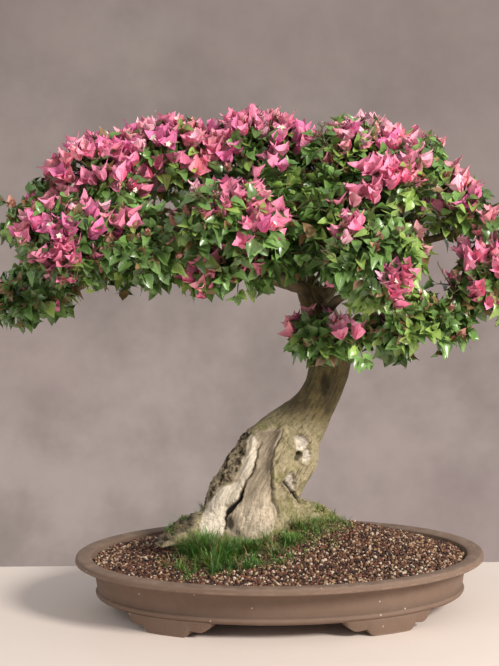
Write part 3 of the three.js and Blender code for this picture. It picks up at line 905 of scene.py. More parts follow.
def on_the_ground(x, y):
    """Points on the soil, or on the roots where they lie over it."""
    tree = node_tree("trunk")
    points = np.stack([x, y, soil_height(x, y)], 1)
    for i, start in enumerate(placed(points + (0, 0, 60))):
        spot, normal, _, _ = tree.ray_cast(Vector(start), Vector((0, 0, -1)))
        if spot is not None:
            points[i, 2] = max(points[i, 2], spot.z / MM - 1) if normal.z > 0.3 else STEEP
    return points


def rotations(rng, number):
    """Random turns as matrices."""
    q = unit(rng.normal(size=(number, 4)))
    w, x, y, z = q.T
    return np.stack(
        [
            np.stack([1 - 2 * (y * y + z * z), 2 * (x * y - w * z), 2 * (x * z + w * y)], -1),
            np.stack([2 * (x * y + w * z), 1 - 2 * (x * x + z * z), 2 * (y * z - w * x)], -1),
            np.stack([2 * (x * z - w * y), 2 * (y * z + w * x), 1 - 2 * (x * x + y * y)], -1),
        ],
        axis=1,
    )


def pick(rng, table, number=None):
    """Random rows of a table, by the share that each of them ends with."""
    return rng.choice(len(table), number, p=[share for _, share in table.values()])


def stamp(points, faces, places, turns, sizes):
    """Copies of one small shape as joined points and faces."""
    shaped = points[None] * sizes[:, None, :]
    moved = np.einsum("nij,nkj->nki", turns, shaped) + places[:, None, :]
    offsets = np.arange(len(places))[:, None, None] * len(points)
    return moved.reshape(-1, 3), (faces[None] + offsets).reshape(-1, faces.shape[1])


GRAIN_COLOURS = {
    "dark": ((0.036, 0.016, 0.011), 0.31),
    "brown": ((0.125, 0.054, 0.031), 0.29),
    "reddish": ((0.190, 0.072, 0.042), 0.16),
    "tan": ((0.370, 0.225, 0.125), 0.15),
    "pale": ((0.600, 0.480, 0.360), 0.09),
}


def grain_shape():
    deselect_all()
    bpy.ops.mesh.primitive_ico_sphere_add(subdivisions=1, radius=0.5)
    seed = new_piece("grain")
    points = read_points(seed.data)
    faces = np.array([tuple(polygon.vertices) for polygon in seed.data.polygons])
    bpy.data.objects.remove(seed, do_unlink=True)
    return points, faces


def build_soil(settings):
    rng = np.random.default_rng(SEEDS["grains"])
    size = settings.grain_size / MM
    step = size * 0.72
    xs = np.arange(-SOIL_EDGE[0], SOIL_EDGE[0], step)
    ys = np.arange(-SOIL_EDGE[1], SOIL_EDGE[1], step)
    x, y = (values.ravel() for values in np.meshgrid(xs, ys))
    x = x + rng.uniform(-0.5, 0.5, len(x)) * step
    y = y + rng.uniform(-0.5, 0.5, len(y)) * step
    inside = np.hypot(x / (SOIL_EDGE[0] + 0.3), y / (SOIL_EDGE[1] + 0.3)) < 1
    x, y = x[inside], y[inside]
    places = on_the_soil(x, y)
    number = len(places)
    places[:, 2] += rng.uniform(-2.2, 0.2, number) + 0.6 * lattice_noise(places * (1, 1, 0) / 14.0, 3)
    sizes = size * rng.uniform(0.62, 1.3, number)[:, None] * rng.uniform(0.72, 1.15, (number, 3))
    turns = rotations(rng, number)
    kind = pick(rng, GRAIN_COLOURS, number)
    variant = rng.integers(0, GRAIN_SHAPES, number)
    base_points, base_faces = grain_shape()
    for k, (name, (base_colour, _)) in enumerate(GRAIN_COLOURS.items()):
        points, faces, start = [], [], 0
        for v in range(GRAIN_SHAPES):
            dents = np.random.default_rng(SEEDS["grain shapes"] + v).uniform(-1, 1, (len(base_points), 1))
            lumpy = base_points * (1 + 0.2 * dents)
            chosen = (kind == k) & (variant == v)
            more_points, more_faces = stamp(lumpy, base_faces, places[chosen], turns[chosen], sizes[chosen])
            points.append(more_points)
            faces.append(more_faces + start)
            start += len(more_points)
        piece = array_piece(f"soil_grains_{name}", placed(np.vstack(points)), np.vstack(faces))
        piece.data.shade_flat()
        finish(piece, grain_material(f"grain_{name}", base_colour), "soil")
    build_ground(settings)


def on_the_soil(x, y):
    """Points on the CAD soil's top, without those that lie deep inside the trunk."""
    tree = node_tree("soil")
    points = np.stack([x, y, np.zeros(len(x))], 1)
    for i, start in enumerate(placed(points + (0, 0, 400))):
        spot = tree.ray_cast(Vector(start), Vector((0, 0, -1)))[0]
        points[i, 2] = spot.z / MM if spot is not None else 0
    points = points[points[:, 2] > SOIL_SIDE]
    depths = np.array([depth_in_trunk(point) for point in placed(points)])
    return points[depths < 5 * MM]


def build_ground(settings):
    """The CAD soil with its top sunk a little, so that the grains on it end at its true height."""
    ground = merged_copy("soil", "ground")
    points = read_points(ground.data)
    points[:, 2] -= GROUND_SINK * MM * (points[:, 2] > SOIL_SIDE * MM)
    write_points(ground.data, points)
    finish(ground, ground_material(settings), "soil", "soil")


# Patches of green seen round the trunk's foot: middle, half sizes and how thickly the grass grows
MOSS_PATCHES = [
    ((-92, -32), (27, 30), 1.0),
    ((-58, -44), (32, 24), 1.0),
    ((-22, -38), (30, 23), 0.95),
    ((14, -22), (26, 20), 0.85),
    ((42, 10), (28, 26), 0.9),
    ((68, 34), (28, 28), 0.85),
    ((-122, -6), (16, 20), 0.5),
    ((-92, -78), (40, 36), 0.46),
    ((-20, -76), (44, 26), 0.32),
    ((46, -36), (30, 26), 0.42),
    ((-112, 70), (26, 34), 0.5),
    ((-10, 118), (60, 16), 0.6),
]


def moss_cover(x, y):
    """How thickly moss grows at a point, from 0 to 1."""
    cover = np.zeros(len(x))
    for (mx, my), (hx, hy), amount in MOSS_PATCHES:
        away = np.hypot((x - mx) / hx, (y - my) / hy)
        cover = np.maximum(cover, amount * smoothstep(1.25, 0.55, away))
    ragged = 0.34 * lattice_noise(np.stack([x, y, 0 * x], 1) / 11.0, 9)
    return np.clip(cover + ragged * (cover > 0.02), 0, 1)


def moss_height(x, y):
    """The cushion's top, which dips under the soil where there is little moss."""
    flat = np.stack([x, y, 0 * x], 1)
    bumps = lattice_noise(flat / 5.0, 4) + 0.5 * lattice_noise(flat / 2.2, 5)
    return soil_height(x, y) - 7.0 + smoothstep(0.15, 0.75, moss_cover(x, y)) * (9.0 + 1.2 * bumps)


# The cushion's grid: its middle and half sizes, and the cover under which it is left out
MOSS_MIDDLE, MOSS_HALVES, MOSS_LEAST = (-18, 6), (142, 122), 0.12


def build_moss(settings):
    """A ragged low cushion, as a fine grid that dips under the soil where there is no moss."""
    deselect_all()
    bpy.ops.mesh.primitive_grid_add(x_subdivisions=190, y_subdivisions=170, size=2)
    moss = new_piece("moss_cushion")
    points = read_points(moss.data)
    x, y = (points[:, :2] * MOSS_HALVES + MOSS_MIDDLE).T
    cover = moss_cover(x, y)
    write_points(moss.data, placed(np.stack([x, y, moss_height(x, y)], 1)))
    take_up(moss)
    bpy.ops.object.mode_set(mode="EDIT")
    editing = bmesh.from_edit_mesh(moss.data)
    low = cover < MOSS_LEAST
    for vertex in editing.verts:
        vertex.select = bool(low[vertex.index])
    editing.select_flush_mode()
    bmesh.update_edit_mesh(moss.data)
    bpy.ops.mesh.select_mode(type="VERT")
    bpy.ops.mesh.delete(type="VERT")
    bpy.ops.object.mode_set(mode="OBJECT")
    apply_modifier(moss, "SOLIDIFY", thickness=0.002, offset=-1)
    smooth_shade(moss)
    finish(moss, moss_material(settings), "moss", "moss")
    build_moss_bits()
    build_grass(settings)


# How far green things are strewn across the trunk's foot, and how many bits of moss are tried
GREEN_WIDTH, MOSS_BITS_TRIED = (-160, 122), 16000
MOSS_BIT_COLOURS = {
    "green": ((0.120, 0.165, 0.036), 0.40),
    "gold": ((0.330, 0.300, 0.110), 0.34),
    "brown": ((0.170, 0.085, 0.040), 0.26),
}


def build_moss_bits():
    """Tips of moss and crumbs of dead leaves, strewn over the cushion and the roots beside it."""
    rng = np.random.default_rng(SEEDS["moss bits"])
    x = rng.uniform(*GREEN_WIDTH, MOSS_BITS_TRIED)
    y = rng.uniform(-110, 110, MOSS_BITS_TRIED)
    keep = rng.uniform(0, 1, len(x)) < 0.8 * moss_cover(x, y)
    places = on_the_ground(x[keep], y[keep])
    over_root = places[:, 2] > soil_height(places[:, 0], places[:, 1]) + 0.5
    open_ground = np.maximum(moss_height(places[:, 0], places[:, 1]), places[:, 2] + 0.4)
    lifted = np.where(over_root, places[:, 2] + 0.6, open_ground)
    places = np.stack([places[:, 0], places[:, 1], lifted], 1)[places[:, 2] < MOSS_TOP]
    number = len(places)
    sizes = rng.uniform(1.4, 3.0, number)[:, None]
    sizes = sizes * rng.uniform((0.9, 0.5, 0.4), (1.7, 0.9, 0.8), (number, 3))
    turns = rotations(rng, number)
    kind = pick(rng, MOSS_BIT_COLOURS, number)
    litter = (places[:, 0] > 12) & (rng.uniform(0, 1, number) < 0.6)
    kind = np.where(litter & (kind == 0), rng.integers(1, 3, number), kind)
    shape, faces = grain_shape()
    for k, (name, (base_colour, _)) in enumerate(MOSS_BIT_COLOURS.items()):
        chosen = kind == k
        points, all_faces = stamp(shape, faces, places[chosen], turns[chosen], sizes[chosen])
        piece = array_piece(f"moss_bits_{name}", placed(points), all_faces)
        finish(piece, grain_material(f"moss_bit_{name}", base_colour), "moss", "moss")


BLADES_IN_TUFT = 9
GRASS_COLOURS = {
    "bright": ((0.085, 0.240, 0.030), 0.50),
    "deep": ((0.048, 0.140, 0.024), 0.20),
    "yellow": ((0.200, 0.240, 0.050), 0.18),
    "straw": ((0.330, 0.240, 0.110), 0.12),
}


def build_grass(settings):
    """Tufts of thin arching blades, thickest in front of the trunk."""
    rng = np.random.default_rng(SEEDS["grass"])
    spots, tries = [], 400
    while len(spots) < settings.grass_tufts:
        x, y = rng.uniform(*GREEN_WIDTH, tries), rng.uniform(-128, 140, tries)
        thick = smoothstep(-0.55, 0.35, lattice_noise(np.stack([x, y, 0 * x], 1) / 15.0, 15))
        sparser = 1 - 0.72 * smoothstep(12, 36, x)
        keep = rng.uniform(0, 1, tries) < moss_cover(x, y) ** 2.4 * thick * sparser
        tried = on_the_ground(x[keep], y[keep])
        spots += list(tried[tried[:, 2] < GRASS_TOP])
    spots = np.array(spots[: settings.grass_tufts])
    roots = np.repeat(spots, BLADES_IN_TUFT, axis=0)
    number = len(roots)
    turn = rng.uniform(0, 2 * math.pi, number)
    lean = rng.uniform(0.15, 1.0, number)
    tall = 0.95 + 0.4 * lattice_noise(roots / (19.0, 19.0, 1e6), 16)
    tall += 0.85 * np.exp(-(((roots[:, 0] + 86) / 24) ** 2)) - 0.35 * smoothstep(-52, -80, roots[:, 1])
    behind = (roots[:, 0] < -60) & (roots[:, 1] > -24)
    tall = np.where(behind, 0.45 * tall, tall) - 0.2 * smoothstep(0, 40, roots[:, 0])
    long = settings.blade_length / MM * rng.uniform(0.45, 1.2, number) * tall
    out = np.stack([np.cos(turn), np.sin(turn), np.zeros(number)], 1)
    roots = roots + out * rng.uniform(0, 4.5, number)[:, None]
    side = np.stack([-np.sin(turn), np.cos(turn), np.zeros(number)], 1)
    shares = np.array([0, 0.35, 0.7, 1.0])
    widths = np.array([0.8, 0.75, 0.5, 0.06]) * 0.55
    rows = []
    for share, width in zip(shares, widths):
        reach = (lean * long)[:, None] * share**1.7 * out
        rise = (long * (1 - 0.35 * lean))[:, None] * (share - 0.12 * share**3) * UP
        middle = roots + reach + rise
        rows += [middle - side * width, middle + side * width]
    points = np.stack(rows, 1).reshape(-1, 3)
    quad = np.array([[0, 1, 3, 2], [2, 3, 5, 4], [4, 5, 7, 6]])
    uv = np.tile(np.repeat(shares, 2)[:, None] * (1, 0) + np.tile([(0, 0), (0, 1)], (4, 1)), (number, 1))
    kind = np.repeat(pick(rng, GRASS_COLOURS, len(spots)), BLADES_IN_TUFT)
    for k, (name, (base_colour, _)) in enumerate(GRASS_COLOURS.items()):
        chosen = np.flatnonzero(kind == k)
        picked = points.reshape(number, 8, 3)[chosen].reshape(-1, 3)
        picked_uv = uv.reshape(number, 8, 2)[chosen].reshape(-1, 2)
        faces = (quad[None] + np.arange(len(chosen))[:, None, None] * 8).reshape(-1, 4)
        piece = array_piece(f"grass_{name}", placed(picked), faces, picked_uv)
        finish(piece, grass_material(f"grass_{name}", base_colour), "moss", "moss")


# The trunk: the CAD shape, cut finer and given the relief that the photograph shows

TRUNK_STATIONS = np.array([
    (82, -36, 47, 78, 60, 0), (96, -36, 46, 72, 54, 0), (113, -33, 45, 62, 48, 2),
    (135, -30, 44, 55, 44, 6), (156, -19, 43, 53, 41, 13), (178, -5, 42, 52, 39, 20),
    (198, 8, 41, 46, 36, 27), (216, 22, 40, 36, 33, 33), (232, 36, 38, 29, 29, 36),
    (249, 48, 37, 25, 26, 34), (274, 60, 35, 24, 24, 20), (300, 66, 34, 26, 23, 3),
    (328, 63, 33, 24, 22, -8), (353, 57, 31, 21, 20, -15), (376, 48, 29, 18.5, 18, -24),
    (401, 35, 26, 14, 14, -30),
], float)

# Marks on the trunk's front, as points in width and height
MAIN_CRACK = [
    (-67, 98), (-66, 111), (-61, 121), (-53, 130), (-47, 138), (-44, 147), (-41, 156), (-35, 165), (-27, 176),
]
HAIR_CRACK = [(-27, 176), (-24, 194), (-21, 204)]
VEIN_EDGE = [(7, 219), (0, 206), (-6, 182), (-8, 156), (-5, 129), (-4, 111), (-5, 88)]
BAND_EDGE = [(-30, 212), (-34, 204), (-42, 179), (-51, 158), (-70, 148), (-79, 135), (-93, 116), (-96, 104)]
DEAD_PANEL = [(-28, 218), *VEIN_EDGE, (-60, 88), *MAIN_CRACK, (-24, 194)]
DEAD_RIDGE = [*BAND_EDGE, (-98, 88), (-66, 88), *MAIN_CRACK, (-24, 194), (-26, 210)]
SCALY_EDGE = [*BAND_EDGE[:-1], (-150, 112), (-150, 222), (-50, 222)]
RIGHT_CRACK = [(8, 156), (10, 149), (17, 138), (25, 129), (29, 122)]
FOOT_BULGES = [((-23, 114), (19, 22)), ((-47, 106), (8, 14))]
FOOT_RECESS = ((-60.5, 105), (5.5, 10))
SCARS = [((28, 204), (9.5, 11)), ((36, 187), (6, 9)), ((15.5, 155), (7, 14))]
HOLLOW = ((25, 187), (3.8, 6))
DARK_BLOTCH = ((59, 274), (6, 18))
# How dark the painted shade in each mark is and how deep each mark is cut, and the distances over which that
# grows to the full
MARK_PAINTED_SHADE = {
    "crack": (1.0, 1.9, 0.7), "hair": (0.75, 1.5, 0.4), "recess": (0.80, 1.15, 0.55),
    "right crack": (1.0, 1.7, 0.7), "hollow": (0.75, 1.1, 0.7), "blotch": (0.80, 1.25, 0.3),
}
MARK_DEPTHS = {
    "crack": (7.5, 3.6, 0.3), "hair": (1.8, 2.0, 0.3), "recess": (4.0, 1.3, 0.4),
    "right crack": (4.5, 3.2, 0.4), "hollow": (6.0, 1.25, 0.3), "blotch": (1.8, 1.2, 0.2),
    "scars": (1.6, 1.0, 0.6), "bulge": (-4.4, 1.25, 0.1),
}


def ellipse_distance(points, middle, halves):
    return np.hypot((points[:, 0] - middle[0]) / halves[0], (points[:, 1] - middle[1]) / halves[1])


def build_trunk(settings):
    trunk = merged_copy("trunk", "trunk_bark")
    apply_modifier(trunk, "REMESH", mode="VOXEL", voxel_size=settings.voxel, adaptivity=0)
    apply_modifier(trunk, "SMOOTH", factor=0.5, iterations=34)

    points = read_points(trunk.data) / MM - POT_OFFSET
    normals = read_points(trunk.data, "normal")
    line = catmull_rom(TRUNK_STATIONS[:, [1, 2, 0]], 300)
    path = Path(line)
    centre_x = np.interp(points[:, 2], line[:, 2], line[:, 0])
    centre_y = np.interp(points[:, 2], line[:, 2], line[:, 1])
    run = np.interp(points[:, 2], line[:, 2], path.run)
    grain = np.stack([points[:, 0] - centre_x, points[:, 1] - centre_y, run], 1)
    flat = points[:, [0, 2]]
    front = smoothstep(0.15, -0.3, normals[:, 1])
    height = points[:, 2]

    wobble = 2.2 * lattice_noise(points / 7.0, 21) + 1.0 * lattice_noise(points / 2.6, 22)
    sway = 2.6 * lattice_noise(points / 19.0, 23)
    panel = outline_distance(flat, DEAD_PANEL) + wobble * 0.5 + sway
    ridge = outline_distance(flat, DEAD_RIDGE) + wobble * 0.9 + sway * 0.7
    scaly = outline_distance(flat, SCALY_EDGE) + wobble
    crack = line_distance(flat + wobble[:, None] * (0.9, 0.3), MAIN_CRACK)
    crack -= 1.5 * np.exp(-((height - 127) / 12) ** 2) + 0.35 * sway
    crack += 0.9 * smoothstep(138, 160, height) + 1.1 * smoothstep(119, 106, height)
    hair = line_distance(flat + wobble[:, None] * (0.8, 0.3), HAIR_CRACK)
    recess = ellipse_distance(flat + wobble[:, None] * 0.6, *FOOT_RECESS)
    right_crack = line_distance(flat + wobble[:, None] * 0.6, RIGHT_CRACK)
    vein = line_distance(flat + (wobble * 0.5 + sway)[:, None] * (1, 0), VEIN_EDGE)
    bulge = np.min([ellipse_distance(flat + wobble[:, None] * 0.5, *b) for b in FOOT_BULGES], axis=0)
    hollow = ellipse_distance(flat + wobble[:, None] * 1.1, *HOLLOW)
    scars = np.min([ellipse_distance(flat + wobble[:, None] * 1.3, *scar) for scar in SCARS], axis=0)
    blotch = ellipse_distance(flat + wobble[:, None], *DARK_BLOTCH)

    pale = front * smoothstep(1.2, -1.2, ridge)
    dead = np.maximum(pale, front * smoothstep(1.2, -1.2, panel))
    grey = front * smoothstep(1, -3, panel) * smoothstep(0.7, 1.5, bulge) * smoothstep(108, 168, height)
    left_side = smoothstep(0.55, 0.25, normals[:, 1])
    rough = smoothstep(1.5, -1.5, scaly) * left_side * (1 - dead)
    upwards = normals[:, 2] + 0.2 * lattice_noise(points / 8, 3)
    spur = smoothstep(-98, -108, points[:, 0]) * smoothstep(0.1, 0.55, upwards)
    rough = np.maximum(rough, spur)
    scar = front * smoothstep(1.05, 0.85, scars)
    marks = {
        "crack": crack, "hair": hair, "recess": recess, "right crack": right_crack,
        "hollow": hollow, "blotch": blotch, "scars": scars, "bulge": bulge,
    }
    painted_shade_parts = [share * smoothstep(low, high, marks[name]) for name, (share, low, high) in MARK_PAINTED_SHADE.items()]
    painted_shade_parts += [0.60 * smoothstep(1.6, 0.2, vein) * smoothstep(105, 120, height), 0.68 * spur]
    # Painted shade: the dark mask blackens the cracks, the recess, the hollow, the blotch and the vein's
    # edge, and darkens the spur's top
    dark = front * np.max(painted_shade_parts, axis=0)
    live = 1 - np.maximum(dead, scar)

    streaks = 1 - 2 * abs(lattice_noise(grain / (6.5, 6.5, 46.0), 2))
    fine = lattice_noise(grain / (2.6, 2.6, 22.0), 6)
    lumps = lattice_noise(points / 24.0, 1)
    knobs = lattice_noise(points / 9.0, 5)
    wood_high = smoothstep(250, 215, height)
    push = 1.9 * lumps * (0.4 + 0.6 * wood_high)
    push += live * (0.9 * knobs * (0.4 + 0.6 * wood_high) + 0.6 * streaks + 0.35 * fine)
    push += dead * (0.8 * streaks + 0.5 * fine - 0.6)
    scales = 1.9 * abs(lattice_noise(points / 4.5, 8)) + 0.9 * lattice_noise(points / 2.2, 9)
    push += rough * (1.7 * knobs + scales)
    push += 3.6 * front * smoothstep(0, -8, ridge) - 3.0 * grey * smoothstep(0, -7, panel)
    fold = np.exp(-((vein - 2.5) / 3.0) ** 2) * (flat[:, 0] > -6)
    push += front * 3.4 * fold * smoothstep(100, 115, height)
    push -= front * 2.2 * smoothstep(2.2, 0.6, vein) * smoothstep(214, 200, height)
    for name, (depth, low, high) in MARK_DEPTHS.items():
        push -= front * depth * smoothstep(low, high, marks[name])
    push += front * 2.4 * np.exp(-((scars - 1.2) / 0.22) ** 2)
    push *= smoothstep(76, 92, height) * 0.5 + 0.5
    points = points + normals * push[:, None]
    write_points(trunk.data, placed(points))

    mossy = smoothstep(128, 100, height + 10 * knobs) * smoothstep(-0.1, 0.5, normals[:, 2]) * (1 - dead)
    mossy *= smoothstep(-106, -84, points[:, 0])
    set_attribute(trunk, "grain", grain * MM)
    high = smoothstep(215, 262, height + 0.3 * points[:, 0])
    names = ("dead", "grey", "band", "scar", "dark", "rough", "mossy", "high")
    for name, values in zip(names, (dead, grey, pale, scar, dark, rough, mossy, high)):
        set_attribute(trunk, name, np.clip(values, 0, 1))
    smooth_shade(trunk)
    return finish(trunk, bark_material(settings), "bark", "trunk")


# The crown: the same rule as the part's source, carried on to finer twigs

FORK = np.array([38.0, 27.0, 390.0])
CROWN = [
    ("left_low", "trunk", 0.99, 11, 187, 335, 392, (50, 66, 38), 0.1),
    ("left_tip", "left_low", 0.68, 5.2, 178, 338, 478, (42, 64, 44), 0.12),
    ("left_front", "left_low", 0.5, 5.8, 206, 305, 462, (52, 52, 46), 0.45),
    ("left_back", "left_low", 0.42, 6, 153, 300, 490, (58, 58, 46), 0.6),
    ("left_top", "left_low", 0.3, 6.4, 182, 248, 532, (58, 62, 46), 1.1),
    ("crest_left", "trunk", 0.95, 9, 176, 168, 552, (54, 66, 44), 1.6),
    ("flank_left", "crest_left", 0.24, 6.2, 213, 232, 452, (62, 54, 48), 0.1),
    ("flank_back", "crest_left", 0.3, 6.2, 137, 212, 520, (58, 60, 52), 0.8),
    ("left_inner", "left_low", 0.22, 5, 197, 186, 430, (62, 60, 42), 0.1),
    ("front", "trunk", 0.92, 7.5, 238, 172, 476, (52, 62, 50), 0.15),
    ("front_low", "front", 0.35, 5, 216, 118, 424, (56, 60, 40), 0.1),
    ("crest", "trunk", 1, 9, 150, 66, 556, (56, 62, 44), 1.1),
    ("back", "crest", 0.25, 7, 98, 178, 505, (54, 66, 54), 0.75),
    ("crest_right", "crest", 0.3, 7, 20, 72, 546, (48, 60, 46), 0.7),
    ("right_top", "trunk", 0.88, 8.5, 4, 142, 534, (54, 62, 38), 0.55),
    ("right_front", "trunk", 0.84, 7, 300, 150, 436, (52, 56, 50), 0.2),
    ("right_far", "right_top", 0.4, 6, 356, 222, 482, (50, 60, 44), 0.35),
    ("right_tip", "trunk", 0.78, 8.5, 352, 236, 396, (54, 62, 44), 0.5),
    ("right_low", "right_tip", 0.3, 5.4, 330, 150, 352, (60, 48, 34), 0.06),
    ("right_back", "right_top", 0.28, 6, 42, 182, 470, (60, 60, 54), 0.6),
    ("trunk_shoot", "trunk", 0.74, 0, 285, 56, 334, (26, 27, 25), 0.0),
]
# Where sky shows past or through the crown from the camera's place: middle and half widths
OPENINGS = [
    ((-274, 589), (50, 54)),
    ((-304, 564), (32, 50)),
    ((-326, 442), (34, 25)),
    ((-219, 540), (16, 12)),
    ((-323, 491), (18, 15)),
    ((-300, 514), (17, 14)),
    ((275, 574), (84, 66)),
    ((275, 512), (30, 42)),
]
VIEWPOINT = np.array(CAMERA_PLACE) / MM - POT_OFFSET
OPENINGS_DEPTH = -60.0
BOUGH_TIP = 3.6
GOLDEN_TURN = math.radians(137.508)
OVERRUN = 1.42
BORDER = -12.0
TWIG_LIMIT = 1.0
BLADE_LIMIT = 1.36
# How far twigs, leaves and flowers may pass the CAD model's box, along each axis
TWIG_SPARE, LEAF_SPARE, FLOWER_SPARE = (20, 14, 6), (27, 20, 10), (27, 20, 12)
# Shoots along the boughs close the crown's heart, down to a floor and out to a radius
BOUGH_SHOOTS = 9
HEART_FLOOR = 432
HEART_RADIUS = 150
HEART_LOW, HEART_HIGH = 300, 560
# Where more shoots end: lowest and highest corner, how many, and their chance of blossom
MORE_SHOOTS = [
    ((0, -100, 436), (104, -12, 522), 40, 0.0),
    ((56, -80, 386), (106, -22, 446), 12, 0.0),
    ((88, -80, 318), (150, -30, 348), 6, 0.0),
    ((80, -84, 336), (94, -66, 350), 1, 0.5),
    ((86, -66, 492), (146, -38, 532), 5, 0.9),
    ((152, -60, 502), (200, -32, 546), 6, 0.9),
    ((-14, -60, 504), (30, -36, 534), 2, 0.8),
    ((18, -12, 566), (60, 40, 588), 5, 0.9),
    ((104, -152, 376), (146, -126, 428), 7, 0.95),
    ((186, -66, 362), (262, -38, 422), 8, 0.9),
    ((-276, -172, 430), (-208, -128, 462), 10, 0.95),
    ((50, -184, 446), (82, -150, 470), 3, 0.95),
    ((-213, -62, 507), (-160, -42, 540), 8, 0.95),
    ((160, -74, 496), (206, -50, 522), 5, 0.95),
    ((-85, -190, 502), (-30, -160, 528), 8, 0.95),
]


class Mass:
    """One mass of foliage: its middle, its own axes and half sizes, and its share of blossom."""

    def __init__(self, name, parent, share, root, bearing, reach, height, halves, bloom):
        turn = math.radians(bearing)
        self.name, self.parent, self.share, self.root, self.bloom = name, parent, share, root, bloom
        self.outward = np.array([math.cos(turn), math.sin(turn), 0])
        self.axes = np.array([self.outward, [-self.outward[1], self.outward[0], 0], UP])
        self.halves = np.array(halves, float)
        self.middle = FORK + self.outward * reach
        self.middle[2] = height
        self.weight = np.prod(self.halves) ** (2 / 3)

    def local(self, points):
        """Points in the mass's own axes, 1 at its skin."""
        return (np.asarray(points) - self.middle) @ self.axes.T / self.halves


def bough_radius(root, share):
    """A bough's radius at a share of its length, from its radius at the root."""
    return root + (BOUGH_TIP - root) * np.asarray(share) ** 0.8


@functools.cache
def crown_frame():
    """The masses, and a path with radii for the trunk and each bough."""
    masses = [Mass(*row) for row in CROWN]
    line = catmull_rom(TRUNK_STATIONS[:, [1, 2, 0]], 400)
    sizes = catmull_rom(TRUNK_STATIONS[:, [3, 4, 5]], 400)
    limbs = {"trunk": (Path(line), lambda t: np.interp(t, np.linspace(0, 1, 400), sizes[:, 0]))}
    for mass in masses:
        path, radius = limbs[mass.parent]
        start, heading = path.at(mass.share), path.heading(mass.share)
        way = mass.middle - start
        if mass.root == 0:
            end = start + unit(way) * radius(mass.share) * 0.9
            limbs[mass.name] = (Path(np.linspace(start, end, 12)), None)
            continue
        arrival = unit([mass.outward[0], mass.outward[1], way[2] / np.linalg.norm(way)])
        end = mass.middle - arrival * mass.halves[0] * 0.62 - UP * mass.halves[2] * 0.2
        span = np.linalg.norm(end - start)
        lift = 0.2 if mass.name == "left_low" else -0.06
        swing = unit(heading * 0.3 + unit(way))
        corners = [start, start + swing * span * 0.35, end - arrival * span * 0.35 + UP * span * lift, end]
        limbs[mass.name] = (Path(bezier(corners, 200)), functools.partial(bough_radius, mass.root))
    return masses, limbs


def room(mass, masses, points):
    """How far inside its own space each point lies; below nothing past the mass's reach."""
    points = np.atleast_2d(points)
    own = ((points - mass.middle) ** 2).sum(1) - mass.weight
    best = np.full(len(points), np.inf)
    for other in masses:
        if other is mass:
            continue
        apart = np.linalg.norm(other.middle - mass.middle)
        theirs = ((points - other.middle) ** 2).sum(1) - other.weight
        best = np.minimum(best, (theirs - own) / (2 * apart))
    share = np.linalg.norm(mass.local(points), axis=1)
    return np.where(share > OVERRUN, -1e3, best)


def crown_share(points):
    """How far points lie from the middle of the nearest mass: 1 is its skin, and downwards counts more."""
    masses, _ = crown_frame()
    shares = []
    for mass in masses:
        local = mass.local(points)
        local[..., 2] *= np.where(local[..., 2] > 0, 1.0, 1.1)
        shares.append(np.linalg.norm(local, axis=-1))
    return np.min(shares, axis=0)


def within_reach(points, limit):
    """Which points lie near a mass, or in the crown's heart over the fork."""
    points = np.asarray(points)
    beside = np.hypot(points[..., 0] - FORK[0], points[..., 1] - FORK[1])
    heart = (beside < HEART_RADIUS) & (points[..., 2] > HEART_LOW) & (points[..., 2] < HEART_HIGH)
    return heart | (crown_share(points) < limit)


def within_box(points, spare=TWIG_SPARE):
    """Which points stay close to the CAD model's box."""
    spots = placed(points)
    spare = np.array(spare) * MM
    return ((spots > CAD_LOW - spare) & (spots < CAD_HIGH + spare)).all(-1)


def build_boughs(settings):
    masses, limbs = crown_frame()
    lines, runs = [], []
    sides = 16
    for mass in masses:
        if mass.root == 0:
            continue
        path, radii = limbs[mass.name]
        rows = max(12, int(path.length / 3.5))
        share = np.linspace(0, 1, rows)
        line = path.at(share)
        run = share * path.length
        knots = lattice_noise(np.stack([run / 16, 0 * run, 0 * run + mass.root * 7], 1), 12)
        collar = 1 + 0.45 * np.exp(-run / (2.2 * mass.root))
        spots = [np.stack([run / 30, 0 * run + k, 0 * run + mass.root], 1) for k in (1, 2, 3)]
        wander = np.stack([lattice_noise(spot, 14) for spot in spots], 1)
        line = line + wander * 1.5 * np.sin(share * math.pi)[:, None]
        lines.append((line, radii(share) * collar * (1 + 0.09 * knots)))
        runs.append(run)
    points, faces = tubes(lines, sides)
    grain = []
    for (line, radii), run in zip(lines, runs):
        turn = np.arange(sides) * 2 * math.pi / sides
        ring = np.stack([np.cos(turn), np.sin(turn)], 1)[None] * radii[:, None, None]
        along = np.repeat(run[:, None, None], sides, axis=1)
        grain.append(np.concatenate([ring, along], -1).reshape(-1, 3))
        grain.append([(0, 0, run[0]), (0, 0, run[-1])])
    grain = np.vstack(grain)
    rough = 0.45 * lattice_noise(grain / (3.0, 3.0, 9.0), 31) + 0.3 * lattice_noise(points / 3.0, 32)
    piece = array_piece("boughs", placed(points), faces)
    normals = read_points(piece.data, "normal")
    write_points(piece.data, placed(points + normals * rough[:, None]))
    set_attribute(piece, "grain", grain * MM)
    material = limb_material("bough_bark", settings.upper, 260.0)
    nodes = [f"bough_{mass.name}" for mass in masses if mass.root]
    return finish(piece, material, "bark", *nodes)


# Kinds of leaves and bracts: what the settings' colour is multiplied by, and their shares. Young ones
# grow only at a twig's end, and young leaves have a colour of their own
LEAF_TINTS = {
    "deep": ((0.62, 0.62, 0.62), 0.37),
    "full": ((1.0, 1.0, 1.0), 0.40),
    "bright": ((1.75, 1.4, 1.3), 0.23),
    "young": (None, 0.0),
}
YOUNG_LEAF = (0.225, 0.140, 0.060)
LEAF_YOUNG, BRACT_YOUNG = 3, 5
LEAF_SPACING = 7.0
# How often a flower has a floret, and a twig without flowers has a young bud or young leaves
FLORET_CHANCE, YOUNG_CHANCE = 0.14, 0.16
